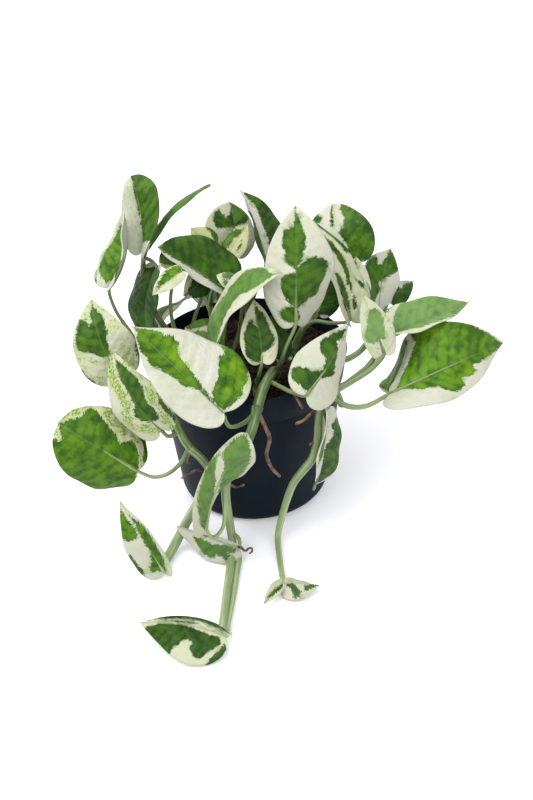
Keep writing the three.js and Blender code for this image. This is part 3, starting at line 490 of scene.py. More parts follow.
        stalk=[(-15, 6, 107), (-17, 13, 122), (-19, 20, 140)],
        green=[[(103, 0), (90, 110), (45, 110), (40, 30), (10, -20), (10, -110), (55, -110), (68, -75),
                (78, -45), (90, -50)]]),
    "arching_pale": dict(
        base=(-21, 27, 155), tip=(-31.5, 34, 166), half=(7, 10), facing=(0, 60), tone=(0.4, 1.0, 0.5),
        stalk=[(-15, 6, 107), (-15, 18, 120), (-17, 26, 141)],
        green=[[(75, 110), (68, 80), (50, 62), (30, 60), (12, 75), (10, 110)]]),
    "middle_bent": dict(
        base=(-16, -28, 117), tip=(20, -35, 169), half=(18, 14), facing=(-45, 55), left=(10, 0),
        right=(65, 5), arch=0.1, sweep=-0.15, tone=(0.65, 0.35, 0.2), pale=0.35,
        stalk=[(-13, -20, 102), (-16, -28, 110)],
        green=[[(98, -10), (92, -50), (86, -85), (80, -97), (73, -92), (69, -78), (66, -65), (62, -70),
                (57, -60), (52, -76), (47, -85), (42, -105), (33, -105), (30, -70), (20, -50), (10, 10),
                (30, 60), (42, 5), (48, 2), (53, 3), (58, 12), (64, 15), (68, 22), (73, 50), (77, 62),
                (83, 66), (90, 60)]]),
    "middle_low": dict(
        base=(-21, -12, 112), tip=(-38, -2, 118), half=(10, 14), facing=(0, 60), tone=(0.55, 0.5, 0.2),
        pale=0.2, stalk=[(-13, -19, 100), (-16, -15, 107)],
        green=[
            [(100, 50), (90, 110), (60, 110), (56, 85), (60, 55), (70, 35), (80, 25), (90, 10)],
            [(78, 5), (60, 25), (45, 30), (30, 25), (15, 5), (12, -30), (30, -30), (50, -30), (62, -32),
             (72, -25)],
            [(50, 65), (35, 55), (20, 60), (20, 110), (50, 110)],
        ]),
    "middle_small": dict(
        base=(-6, -2, 146), tip=(-17, 2, 150), half=(5, 5), facing=(0, 45), tone=(0.3, 0.4, 0.1), pale=0.4,
        stalk=[(-13, -19, 102), (-6, -10, 116), (-3, -4, 134)],
        green=[
            [(78, 15), (75, 80), (70, 110), (35, 110), (20, 60), (20, 20), (50, 12), (70, 8)],
            [(20, -10), (70, -10), (60, -80), (30, -80)],
        ]),
    "low_dark": dict(
        base=(7, -44, 118), tip=(4, -20, 145), half=(12, 10), facing=(10, 25), left=(22, 15), right=(22, 10),
        arch=0, sweep=0.02, tone=(0.08, 0.5, 0.1), stalk=[(4, -39, 100), (5, -43, 109)],
        green=[[(96, 0), (90, 35), (81, 70), (75, 76), (69, 70), (62, 70), (56, 82), (50, 80), (42, 60),
                (36, 35), (27, 10), (10, 0), (15, -60), (27, -80), (35, -88), (42, -88), (50, -78),
                (58, -83), (65, -78), (72, -68), (74, -45), (70, -28), (66, -8), (70, -12), (78, -15),
                (86, -15), (92, -12)]]),
    "rear_middle_broad": dict(
        base=(-6, 46, 140), tip=(-8, 68, 167), half=(24, 13), facing=(20, 20), left=(45, 15), right=(5, 30),
        arch=0.15, tone=(0.4, 0.35, 0.2), stalk=[(0, 26, 107), (-1, 34, 118), (-4, 43, 130)],
        green=[[(103, 0), (90, 105), (80, 105), (72, 102), (68, 85), (65, 50), (62, 5), (61, -25), (58, -60),
                (65, -78), (73, -88), (79, -82), (76, -60), (73, -35), (79, -20), (88, -18)]]),
    "rear_middle_small": dict(
        base=(-10, 28, 149), tip=(3, 40, 164), half=(7, 8), facing=(-20, 30), tone=(0.55, 0.85, 0.1),
        stalk=[(0, 25, 104), (1, 26, 122), (-5, 28, 140)],
        green=[
            [(85, -35), (75, -90), (60, -110), (40, -110), (33, -80), (35, -50), (50, -35), (62, -25),
             (75, -12)],
            [(66, 35), (60, 55), (45, 55), (40, 45), (50, 38)],
        ]),
    "rear_middle_tall": dict(
        base=(13, 26, 145), tip=(-1, 58, 179), half=(9, 20), facing=(30, 28), left=(55, 75), right=(0, 5),
        arch=0.07, tone=(0.1, 0.1, 0), stalk=[(0, 26, 108), (5, 27, 122), (11, 26, 136)],
        green=[
            [(103, 0), (90, 105), (50, 110), (25, 110), (30, 50), (40, 28), (55, 22), (70, 30), (80, 45),
             (90, 40)],
            [(20, -110), (70, -110), (70, -10), (20, -10)],
        ]),
    "rear_right_edge": dict(
        base=(60, -16, 126), tip=(40, 24, 173), half=(9, 18), facing=(20, 25), left=(60, 60), right=(0, 0),
        tone=(0.25, 0.5, 0.3), stalk=[(33, 6, 107), (40, -2, 118), (50, -10, 121)],
        green=[
            [(95, 30), (85, 45), (75, 60), (65, 62), (60, 55), (50, 45), (42, 40), (50, 30), (60, 35),
             (70, 35), (80, 25), (88, 15)],
            [(93, 70), (85, 80), (75, 85), (68, 80), (66, 105), (80, 105), (92, 105)],
            [(53, 70), (50, 95), (46, 90), (49, 70)],
            [(42, 45), (30, 50), (28, 35), (36, 32)],
            [(58, -30), (58, 12), (45, 20), (20, 20), (15, -30), (35, -60)],
        ]),
    "rear_right_wide": dict(
        base=(64, 24, 143), tip=(56, 52, 169), half=(23, 20), facing=(-5, 35), left=(35, 20), right=(25, 35),
        arch=0.15, sweep=-0.03, tone=(0.5, 0.15, 0.1), stalk=[(31, 7, 103), (44, 15, 114), (59, 22, 130)],
        green=[
            [(83, 55), (85, 110), (60, 110), (30, 110), (20, 90), (15, 30), (30, 10), (40, 12), (50, 2),
             (60, -5), (65, 15), (70, 35), (76, 45)],
            [(80, -105), (77, -70), (72, -60), (70, -80), (72, -105)],
            [(95, -30), (80, -15), (68, -15), (68, -28), (80, -30), (93, -50)],
        ]),
    "rear_right_dark": dict(
        base=(42, 0, 123), tip=(56, 14, 143), half=(10, 10), facing=(0, 35), tone=(0.05, 0.2, 0),
        stalk=[(33, 6, 107), (38, 3, 115)], green=[ALL_GREEN]),
    "far_right_green": dict(
        base=(80, 8, 119), tip=(90, 34, 146), half=(17, 14), facing=(20, 22), left=(60, -20),
        right=(-25, 30), arch=0.05, sweep=-0.06, tone=(0.35, 0.15, 0.1),
        stalk=[(71, -25, 117), (76, -10, 117), (79, 2, 117)],
        green=[[(103, 0), (93, 90), (85, 105), (76, 110), (72, 85), (69, 55), (63, 20), (58, 5), (55, -15),
                (50, -20), (45, 2), (38, -25), (33, -110), (45, -88), (55, -85), (62, -92), (70, -95),
                (78, -92), (76, -65), (72, -45), (76, -30), (82, -20), (90, -20)]]),
    "far_right_dark": dict(
        base=(88, 20, 119), tip=(104, 26, 127), half=(6, 8), facing=(0, 35), tone=(0.05, 0.2, 0),
        stalk=[(71, -25, 117), (78, -8, 114), (84, 8, 114)],
        green=[[(0, 0), (30, 110), (90, 110), (103, 0), (90, -50), (70, -40), (66, -10), (60, -40),
                (50, -110), (20, -110)]]),
    "far_right_cream": dict(
        base=(68, 2, 129), tip=(67, 20, 149), half=(7, 7), facing=(0, 35), tone=(0.05, 0.3, 0.4),
        stalk=[(71, -25, 117), (74, -12, 121), (71, -2, 126)],
        green=[
            [(59, 8), (58, 35), (54, 50), (47, 50), (50, 40), (54, 25), (56, 5)],
            [(43, 30), (38, 55), (28, 90), (26, 85), (36, 42)],
            [(97, -40), (88, -15), (80, -30), (78, -60), (85, -80)],
        ]),
    "back_left_long": dict(
        base=(-20, 66, 107), tip=(-26, 92, 74), half=(18, 18), facing=(-170, 40), arch=0.15,
        stalk=[(-24, 42, 106), (-23, 54, 109)]),
    "back_left_side": dict(
        base=(-46, 67, 97), tip=(-64, 84, 64), half=(16, 16), facing=(-140, 35), arch=0.12,
        stalk=[(-24, 42, 104), (-28, 55, 106), (-37, 63, 104)],
        green=[[(5, 0), (20, -70), (45, -90), (50, -40), (70, -50), (80, -80), (92, -40), (103, 0), (80, 20),
                (60, 25), (40, 10)]]),
    "back_left_upper": dict(
        base=(-19, 52, 121), tip=(-30, 74, 129), half=(12, 12), facing=(170, 60), arch=0.12,
        stalk=[(-24, 42, 106), (-22, 45, 114)],
        green=[[(10, 10), (20, 80), (45, 110), (60, 80), (75, 100), (95, 50), (103, 0), (70, -25), (50, -60),
                (40, -20), (20, -20)]]),
    "back_right_long": dict(
        base=(32, 66, 110), tip=(36, 98, 86), half=(20, 20), facing=(180, 50), arch=0.15,
        stalk=[(26, 42, 107), (29, 54, 112)]),
    "back_right_side": dict(
        base=(54, 50, 110), tip=(76, 72, 82), half=(17, 17), facing=(130, 45), arch=0.12,
        stalk=[(26, 41, 105), (40, 45, 111)],
        green=[
            [(10, 0), (25, 50), (40, 85), (55, 90), (60, 50), (75, 60), (90, 75), (103, 0), (80, -10),
             (50, -5)],
            [(15, -40), (35, -30), (50, -60), (45, -110), (20, -110)],
        ]),
    "back_right_upper": dict(
        base=(29, 52, 126), tip=(37, 80, 145), half=(17, 17), facing=(170, 55), arch=0.12,
        stalk=[(26, 42, 107), (27, 47, 118)],
        green=[[(5, 0), (20, -80), (50, -110), (80, -80), (103, 0), (85, 35), (70, 20), (50, 55), (35, 20),
                (20, 50)]]),
}


def unit(v):
    return v / np.linalg.norm(v, axis=-1, keepdims=True)


def mix(a, b, share):
    return a + (b - a) * share


def by_side(v, pair):
    """The first of a pair on the left half of a leaf, the second on its right half."""
    return np.where(v >= 0, pair[1], pair[0])


# Leaf form


def outline(share, blunt):
    """Places (u, v) on the half outline; share is 0 at the base and 1 at the tip."""
    corners = mix(np.array(POINTED_OUTLINE, float), np.array(BLUNT_OUTLINE, float), blunt)
    last = len(corners) - 1
    place = np.clip(share, 0, 1) * last
    index = np.minimum(place.astype(int), last - 1)
    f = (place - index)[..., None]
    a, b, c, d = (corners[np.clip(index + step, 0, last)] for step in (-1, 0, 1, 2))
    bend = (2 * a - 5 * b + 4 * c - d) * f**2 + (3 * b - a - 3 * c + d) * f**3
    return 0.5 * (2 * b + (c - a) * f + bend)


def leaf_place(share, out, blunt):
    """Where a leaf place lies on the flat blade: share of the length, share of the half width."""
    edge = outline(share, blunt)
    root = np.clip(share, 0, 1) ** VEIN_START
    return mix(root, edge[..., 0], np.abs(out)), edge[..., 1] * out


def vein_share(u, v):
    """Where the side vein through a flat place leaves the midrib, as a share of the length."""
    return u - VEIN_SLANT * np.abs(v) ** VEIN_BEND


def settle(name, seed):
    """A leaf with its defaults, its length and its own three directions."""
    leaf = {**LEAF_DEFAULTS, **LEAVES[name]}
    base = np.array(leaf["base"], float)
    along = np.array(leaf["tip"], float) - base
    length = np.linalg.norm(along)
    along = along / length
    yaw, pitch = (math.radians(a) for a in leaf["facing"])
    up = np.array([math.sin(yaw) * math.cos(pitch), -math.cos(yaw) * math.cos(pitch), math.sin(pitch)])
    up = unit(up - along * up.dot(along))
    across = np.cross(along, up)
    leaf.update(name=name, seed=seed, base=base, along=along, length=length, up=up, across=across)
    return leaf


def midrib(leaf, u):
    """The midrib's places at shares u of the length, with the blade's directions there."""
    u = np.asarray(u, float)[..., None]
    t = np.maximum(u, 0)
    bow = leaf["up"] * leaf["arch"] + leaf["across"] * leaf["sweep"]
    length = leaf["length"]
    place = leaf["base"] + leaf["along"] * length * t + bow * length * 4 * t * (1 - t)
    ahead = unit(leaf["along"] + bow * 4 * (1 - 2 * t))
    place = place + ahead * length * np.minimum(u, 0)
    up = unit(leaf["up"] - ahead * (ahead @ leaf["up"])[..., None])
    return place, up, np.cross(ahead, up)


def blade_surface(leaf, u, v):
    """Places of the blade: u along the length, v across, -1 to 1."""
    place, up, across = midrib(leaf, u)
    half = by_side(v, leaf["half"])
    t = np.clip(u, 0, 1)
    fold = np.radians(by_side(v, (mix(*leaf["left"], t), mix(*leaf["right"], t))))
    turn = np.radians(CURL) / half
    end = fold + turn * (np.abs(v) * half)
    out = (np.sin(end) - np.sin(fold)) / turn * by_side(v, (-1.0, 1.0))
    rise = (np.cos(fold) - np.cos(end)) / turn
    return place + across * out[..., None] + up * rise[..., None]


def relief(leaf, u, v, out):
    """How far the blade stands out of its plain form."""
    size = leaf["length"] / LEAF_SIZE
    seed = leaf["seed"]
    edge = np.abs(out) ** 3
    fade = np.clip(1 - edge, 0, 1) * np.clip(u * BASE_RISE + BASE_RELIEF, 0, 1)
    fade = fade * np.clip((1 - u) * TIP_RISE, 0, 1)
    waves = np.cos(2 * np.pi * vein_share(u, v) * SIDE_VEINS)
    quilt = QUILT * size * waves * fade * np.clip(np.abs(v) * RIB_RISE, 0, 1)
    beside_rib = v * by_side(v, leaf["half"]) / GROOVE_WIDTH
    groove = -GROOVE * size * np.exp(-(beside_rib**2)) * np.clip(GROOVE_END - u, 0, 1)
    turns = RIPPLES * u + RIPPLE_STEP * seed + RIPPLE_SHIFT * (v > 0)
    ripple = RIPPLE * size * edge * np.sin(2 * np.pi * turns)
    along, across = SWELL_TURNS
    swell = SWELL * size * np.sin(along * u + seed) * np.sin(across * v + 2 * seed)
    return quilt + groove + ripple + swell


# Markings


def patch_distance(leaf, patch, x, y):
    """How deep inside a patch each flat place is, in millimetres, below 0 outside it."""
    corners = np.array(patch, float) / 100
    step = np.linspace(0, 1, PATCH_STEPS, endpoint=False)[:, None]
    after = np.roll(corners, -1, axis=0)
    share, out = np.concatenate([mix(a, b, step) for a, b in zip(corners, after)]).T
    u, v = leaf_place(share, out, leaf["blunt"])
    past = np.maximum(share - 1, 0) + np.minimum(share, 0)
    px = (u + past) * leaf["length"]
    py = v * by_side(v, leaf["half"]) + np.where(np.abs(out) > 1, np.sign(out) * PAST_RIM, 0)
    depth = np.full(x.shape, 1e9)
    inside = np.zeros(x.shape, bool)
    for ax, ay, bx, by in zip(px, py, np.roll(px, -1), np.roll(py, -1)):
        dx, dy = bx - ax, by - ay
        near = np.clip(((x - ax) * dx + (y - ay) * dy) / max(dx * dx + dy * dy, 1e-9), 0, 1)
        depth = np.minimum(depth, np.hypot(x - ax - near * dx, y - ay - near * dy))
        crosses = (ay > y) != (by > y)
        with np.errstate(divide="ignore", invalid="ignore"):
            inside ^= crosses & (x < ax + (y - ay) * dx / dy)
    return np.where(inside, depth, -depth)


# Mesh making


def new_object(name, vertices, faces, smooth=True):
    mesh = bpy.data.meshes.new(name)
    mesh.from_pydata((np.asarray(vertices) * MM).tolist(), [], faces)
    mesh.polygons.foreach_set("use_smooth", [smooth] * len(mesh.polygons))
    mesh.update()
    obj = bpy.data.objects.new(name, mesh)
    bpy.context.scene.collection.objects.link(obj)
    return obj


def set_attribute(obj, name, values):
    """A number, or three, for each point."""
    values = np.asarray(values, np.float32)
    vector = values.ndim == 2
    kind = "FLOAT_VECTOR" if vector else "FLOAT"
    attribute = obj.data.attributes.new(name, kind, "POINT")
    attribute.data.foreach_set("vector" if vector else "value", values.ravel())


def grid_faces(rows, columns, closed=False):
    """Faces of a grid of points; closed joins the last column to the first."""
    faces = []
    for i in range(rows - 1):
        here, above = i * columns, (i + 1) * columns
        for j in range(columns if closed else columns - 1):
            k = (j + 1) % columns
            faces.append((here + j, here + k, above + k, above + j))
    return faces


def grid_normals(grid):
    normal = np.cross(np.gradient(grid, axis=1), np.gradient(grid, axis=0))
    return normal / np.maximum(np.linalg.norm(normal, axis=-1, keepdims=True), 1e-9)


def blade_faces(rows, columns):
    """Faces of a blade's upper side, its underside and its rim."""
    count = rows * columns
    upper = grid_faces(rows, columns)
    under = [tuple(count + k for k in reversed(face)) for face in upper]
    rim = list(range(columns))
    rim += [i * columns + columns - 1 for i in range(1, rows)]
    rim += [(rows - 1) * columns + j for j in range(columns - 2, -1, -1)]
    rim += [i * columns for i in range(rows - 2, 0, -1)]
    return upper, under, [(b, a, count + a, count + b) for a, b in zip(rim, rim[1:] + rim[:1])]


def leaf_object(leaf, materials):
    """A blade with two faces and a rim, its veins in its form and its markings as attributes."""
    shares = np.linspace(*LEAF_ENDS, LEAF_ROWS)[:, None]
    outs = np.linspace(-1, 1, 2 * LEAF_COLUMNS + 1)[None, :]
    shares, outs = np.broadcast_arrays(shares, outs)
    u, v = leaf_place(shares, outs, leaf["blunt"])
    grid = blade_surface(leaf, u, v)
    normal = grid_normals(grid)
    grid = grid + normal * relief(leaf, u, v, outs)[..., None]
    sides = [(grid + normal * thick).reshape(-1, 3) for thick in (BLADE * 0.5, -BLADE * 0.5)]
    upper, under, rim = blade_faces(*u.shape)
    obj = new_object(leaf["name"], np.concatenate(sides), upper + under + rim)
    for material in materials:
        obj.data.materials.append(material)
    slots = [0] * len(upper) + [1] * len(under) + [0] * len(rim)
    obj.data.polygons.foreach_set("material_index", slots)

    x, y = u * leaf["length"], v * by_side(v, leaf["half"])
    green = np.max([patch_distance(leaf, patch, x, y) for patch in leaf["green"]], axis=0)
    flat = np.stack([x, y, np.full_like(x, leaf["seed"] * NOISE_STEP)], axis=-1)
    vein = np.stack([vein_share(u, v) * leaf["length"], y, outs], axis=-1)
    attributes = dict(
        green=green.ravel(), vein=vein.reshape(-1, 3), flat=flat.reshape(-1, 3),
        tone=np.tile(leaf["tone"], (u.size, 1)), pale=np.full(u.size, leaf["pale"]),
    )
    for name, values in attributes.items():
        set_attribute(obj, name, np.concatenate([values, values]))
    return obj


# Stems, petioles and roots


def curve_points(route, spacing):
    """Evenly spaced places on a smooth centripetal curve through the route."""
    route = np.array(route, float)
    ends = [2 * route[0] - route[1], *route, 2 * route[-1] - route[-2]]
    t = np.linspace(0, 1, CURVE_STEPS, endpoint=False)[:, None]
    dense = []
    for p0, p1, p2, p3 in zip(ends, ends[1:], ends[2:], ends[3:]):
        d0, d1, d2 = (max(np.linalg.norm(b - a), 1e-6) ** 0.5 for a, b in ((p0, p1), (p1, p2), (p2, p3)))
        m1 = ((p1 - p0) / d0 - (p2 - p0) / (d0 + d1) + (p2 - p1) / d1) * d1
        m2 = ((p2 - p1) / d1 - (p3 - p1) / (d1 + d2) + (p3 - p2) / d2) * d1
        dense.append(p1 + m1 * t + (3 * (p2 - p1) - 2 * m1 - m2) * t**2 + (2 * (p1 - p2) + m1 + m2) * t**3)
    dense = np.concatenate([*dense, route[-1:]])
    reach = np.concatenate([[0], np.cumsum(np.linalg.norm(np.diff(dense, axis=0), axis=1))])
    count = max(4, int(round(reach[-1] / spacing)) + 1)
    places = np.linspace(0, reach[-1], count)
    return np.stack([np.interp(places, reach, dense[:, k]) for k in range(3)], axis=1), places


def tube(route, radius, sides, spacing, swell=0.0, rough=0.0, seed=0):
    """A tapering limb: its points, faces, and for each point how far along and round it is."""
    centre, places = curve_points(route, spacing)
    ahead = unit(np.gradient(centre, axis=0))
    side = unit(np.cross(ahead[0], START_SIDE))
    girth = mix(*radius, places / places[-1]) + swell * np.exp(-((places / SWELL_LENGTH) ** 2))
    angles = np.linspace(0, 2 * np.pi, sides, endpoint=False)
    quick, slow, round_ = WOBBLE_TURNS
    rings = []
    for k, place in enumerate(centre):
        side = unit(side - ahead[k] * side.dot(ahead[k]))
        other = np.cross(ahead[k], side)
        wobble = 1 + rough * np.sin(quick * k + round_ * angles + seed) * np.sin(slow * k + seed)
        out = np.cos(angles)[:, None] * side + np.sin(angles)[:, None] * other
        rings.append(place + girth[k] * wobble[:, None] * out)
    foot = centre[0] - ahead[0] * girth[0] * LIMB_ENDS[0]
    tip = centre[-1] + ahead[-1] * girth[-1] * LIMB_ENDS[1]
    first = len(centre) * sides
    last_ring = first - sides
    faces = grid_faces(len(centre), sides, closed=True)
    faces += [(first, (j + 1) % sides, j) for j in range(sides)]
    faces += [(first + 1, last_ring + j, last_ring + (j + 1) % sides) for j in range(sides)]
    along = np.concatenate([np.repeat(places, sides), [0, places[-1]]])
    turn = np.concatenate([np.tile(angles, len(centre)), [0, 0]])
    return np.concatenate([*rings, [foot, tip]]), faces, along, turn


def joined(name, tubes, kinds):
    """Several limbs as one object, with their length, turn and kind as attributes."""
    points, faces, places = [], [], []
    start = 0
    for (part_points, part_faces, along, turn), kind in zip(tubes, kinds):
        points.append(part_points)
        faces += [tuple(k + start for k in face) for face in part_faces]
        places.append(np.stack([along, turn, np.full(len(along), kind)], axis=1))
        start += len(part_points)
    obj = new_object(name, np.concatenate(points), faces)
    set_attribute(obj, "limb", np.concatenate(places))
    return obj


def stem_object(node, leaves, material):
    """A stem with its petioles and aerial roots."""
    crown = SHOOTS[node][0][1][0][:2]
    tubes = [tube([(*crown, z) for z in FOOT_HEIGHTS], (FOOT_RADIUS, FOOT_RADIUS), **FOOT_MESH)]
    tubes += [tube(route, radius, swell=SHOOT_SWELL, **SHOOT_MESH) for radius, route in SHOOTS[node]]
    kinds = [STEM] * len(tubes)
    for radius, route in ROOTS.get(node, ()):
        tubes.append(tube(route, radius, rough=ROOT_WOBBLE, seed=len(tubes), **ROOT_MESH))
        kinds.append(ROOT)
    for leaf in leaves:
        places, up, _ = midrib(leaf, RIB_SHARES)
        under = places - up * np.array(RIB_DEPTHS)[:, None]
        girths = [leaf["girth"] * share for share in PETIOLE_GIRTHS]
        tubes.append(tube([*leaf["stalk"], *under[:2]], girths, **PETIOLE_MESH))
        tubes.append(tube(under, (leaf["girth"] * RIB_GIRTH, RIB_TIP), **RIB_MESH))
        kinds += [PETIOLE, PETIOLE]
    obj = joined(node + "_limbs", tubes, kinds)
    obj.data.materials.append(material)
    return obj


# Pot and soil


def wall_radius(z):
    return mix(BASE_RADIUS, RIM_RADIUS - BAND_STEP, z / POT_HEIGHT)


def pot_profile():
    """The pot's section from the foot's edge out and up the wall, over the rim and back in."""
    band = POT_HEIGHT - BAND_HEIGHT
    centre = wall_radius(FOOT_ROUND) - FOOT_ROUND
    turns = np.radians(np.linspace(0, 90, FOOT_RINGS))
    profile = [(centre + FOOT_ROUND * math.sin(t), FOOT_ROUND * (1 - math.cos(t))) for t in turns]
    heights = np.linspace(FOOT_ROUND + WALL_GAPS[0], band - WALL_GAPS[1], WALL_RINGS)
    profile += [(wall_radius(z), z) for z in heights]
    profile += [(wall_radius(band) + BAND_STEP * s, band + BAND_STEP * s) for s in STEP_RINGS]
    profile += [(RIM_RADIUS - inward, POT_HEIGHT - down) for inward, down in RIM_ROUNDING]
    profile += [(wall_radius(z) - POT_WALL, z) for z in (band, FOOT_ROUND)]
    profile.append((centre, POT_FLOOR))
    return profile


def floor_sector(angle, radius):
    """One sector of the pot's floor: places round its hole and, one for each, round its edge."""
    half = math.pi / DRAIN_HOLES
    sweep = np.linspace(-half, half, POT_SEGMENTS // DRAIN_HOLES + 1)
    rim = np.stack([np.cos(sweep), np.sin(sweep)], axis=1) * radius
    ribs = np.linspace(0, 1, SECTOR_STEPS, endpoint=False)[1:, None]
    edge = np.concatenate([[[0, 0]], rim[0] * ribs, rim, rim[-1] * ribs[::-1]])
    hole = unit(edge - [DRAIN_CIRCLE, 0]) * DRAIN_RADIUS + [DRAIN_CIRCLE, 0]
    turn = np.array([[math.cos(angle), math.sin(angle)], [-math.sin(angle), math.cos(angle)]])
    return hole @ turn, edge @ turn


def pot_floor(radius):
    """The pot's floor with its drain holes: underside, holes' walls and top."""
    points, faces = [], []
    for k in range(DRAIN_HOLES):
        hole, edge = floor_sector(2 * math.pi * k / DRAIN_HOLES, radius)
        loops = [(edge, 0), (hole, 0), (hole, POT_FLOOR), (edge, POT_FLOOR)]
        rings = [np.column_stack([loop, np.full(len(loop), z)]) for loop, z in loops]
        start = len(points)
        points += list(np.concatenate(rings))
        faces += [tuple(start + c for c in face) for face in grid_faces(4, len(edge), closed=True)]
    return points, faces


def turned(name, profile, segments):
    """A surface turned about the upright axis."""
    radii, heights = np.array(profile).T[:, :, None]
    angles = np.linspace(0, 2 * np.pi, segments, endpoint=False)[None, :]
    points = np.stack([radii * np.cos(angles), radii * np.sin(angles), heights + 0 * angles], axis=-1)
    return new_object(name, points.reshape(-1, 3), grid_faces(len(profile), segments, closed=True))


def pot_object():
    """The pot: its turned wall and its floor grown together."""
    profile = pot_profile()
    pot = turned("nursery_pot", profile, POT_SEGMENTS)
    floor = new_object("pot_floor", *pot_floor(profile[0][0]), smooth=False)
    body = bmesh.new()
    body.from_mesh(pot.data)
    body.from_mesh(floor.data)
    bmesh.ops.remove_doubles(body, verts=body.verts, dist=WELD * MM)
    bmesh.ops.recalc_face_normals(body, faces=body.faces)
    body.to_mesh(pot.data)
    body.free()
    bpy.data.objects.remove(floor)
    return pot


def soil_height(x, y):
    lump = np.sin(x * SOIL_LUMP["x"] + SOIL_LUMP["start"]) * np.cos(y * SOIL_LUMP["y"])
    swell = np.sin(x * SOIL_SWELL["x"] + y * SOIL_SWELL["y"] + SOIL_SWELL["start"])
    return SOIL_TOP + SOIL_LUMP["height"] * lump + SOIL_SWELL["height"] * swell


def soil_crumbs():
    """Crumbs and bark pieces lying on the soil."""
    draw = np.random.default_rng(CRUMB_DRAW)
    corners = np.array(CRUMB_CORNERS, float)
    points, faces = [], []
    for _ in range(CRUMBS):
        radius = SOIL_REACH * math.sqrt(draw.random())
        angle = draw.random() * 2 * math.pi
        x, y = radius * math.cos(angle), radius * math.sin(angle)
        size = draw.uniform(*CRUMB_SIZE)
        size = size * np.array([1, draw.uniform(*CRUMB_WIDTH), draw.uniform(*CRUMB_THICKNESS)])
        spin = Matrix.Rotation(draw.uniform(0, 2 * math.pi), 3, "Z")
        turn = spin @ Matrix.Rotation(draw.uniform(0, CRUMB_TILT), 3, "X")
        shape = corners * draw.uniform(*CRUMB_UNEVEN, corners.shape) * size
        place = np.array([x, y, soil_height(x, y) + CRUMB_LIFT])
        faces += [tuple(len(points) + k for k in side) for side in CRUMB_SIDES]
        points += list(shape @ np.array(turn).T + place)
    return new_object("soil_crumbs", points, faces, smooth=False)


# Materials


class Shader:
    """A small helper that adds nodes and links to one material."""

    def __init__(self, name):
        self.material = bpy.data.materials.new(name)
        self.material.use_nodes = True
        self.tree = self.material.node_tree

    def put(self, socket, value):
        if isinstance(value, bpy.types.NodeSocket):
            self.tree.links.new(value, socket)
        elif value is not None:
            socket.default_value = value

    def node(self, kind, inputs=(), **settings):
        node = self.tree.nodes.new("ShaderNode" + kind)
        for key, value in settings.items():
            setattr(node, key, value)
        for key, value in dict(inputs).items():
            self.put(node.inputs[key], value)
        return node

    def surface(self, inputs):
        """Sets the shader's own sockets, and gives back the finished material."""
        for key, value in inputs.items():
            self.put(self.tree.nodes["Principled BSDF"].inputs[key], value)
        return self.material

    def place(self):
        return self.node("TexCoord").outputs["Object"]

    def attribute(self, name, output="Vector"):
        return self.node("Attribute", attribute_name=name).outputs[output]

    def math(self, operation, a, b=None):
        node = self.node("Math", operation=operation)
        for socket, value in zip(node.inputs, (a, b)):
            self.put(socket, value)
        return node.outputs[0]

    def plus(self, a, b):
        return self.math("ADD", a, b)

    def minus(self, a, b):
        return self.math("SUBTRACT", a, b)

    def times(self, a, b):
        return self.math("MULTIPLY", a, b)

    def swing(self, noise, reach):
        """A noise's swing about its middle."""
        return self.times(self.minus(noise, 0.5), reach)

    def split(self, vector):
        return self.node("SeparateXYZ", {"Vector": vector}).outputs

    def join(self, x, y, z):
        return self.node("CombineXYZ", {"X": x, "Y": y, "Z": z}).outputs[0]

    def noise(self, vector, scale, detail=2.0, roughness=0.5):
        inputs = {"Vector": vector, "Scale": scale, "Detail": detail, "Roughness": roughness}
        return self.node("TexNoise", inputs).outputs["Fac"]

    def ramp(self, value, low, high, start=0.0, end=1.0):
        inputs = {"Value": value, "From Min": low, "From Max": high, "To Min": start, "To Max": end}
        return self.node("MapRange", inputs, interpolation_type="SMOOTHSTEP").outputs[0]

    def mix(self, share, a, b):
        a, b = ((*colour, 1) if isinstance(colour, tuple) else colour for colour in (a, b))
        inputs = {"Factor": share, "A": a, "B": b}
        return self.node("Mix", inputs, data_type="RGBA").outputs["Result"]

    def bump(self, height, distance, strength=1.0, normal=None):
        inputs = {"Height": height, "Distance": distance, "Strength": strength, "Normal": normal}
        return self.node("Bump", inputs).outputs[0]


def patch_depth(s, along, y, flat):
    """How deep in a green patch a place is, with the edge broken by streaks along the side veins."""
    seed = s.split(flat)[2]
    sector_place = s.join(s.times(along, 0.62), s.times(y, 0.24), seed)
    sectors = s.split(s.node("TexVoronoi", {"Vector": sector_place}).outputs["Color"])[0]
    streaks = s.noise(s.join(s.times(along, 0.9), s.times(y, 0.28), seed), 1.0, 1.5, 0.5)
    crumbs = s.noise(flat, 1.9, 3.0, 0.6)
    depth = s.plus(s.attribute("green", "Fac"), s.swing(streaks, 2.6))
    return s.plus(s.plus(depth, s.swing(crumbs, 0.5)), s.swing(sectors, 1.2))


def side_veins(s, along, flat):
    """The side veins, bent a little and broken, and painted light and shade for the quilting between them:
    lighter on the swells, darker towards the veins.
    """
    bend = s.swing(s.noise(flat, 0.2, 2.0), 4.0)
    line = s.math("PINGPONG", s.times(s.plus(along, bend), 0.16), 0.5)
    broken = s.ramp(s.noise(flat, 0.3, 2.0), 0.4, 0.62)
    vein = s.times(s.ramp(line, 0.0, 0.11, 1.0, 0.0), broken)
    return vein, s.ramp(line, 0.0, 0.4, -0.05, 0.045)


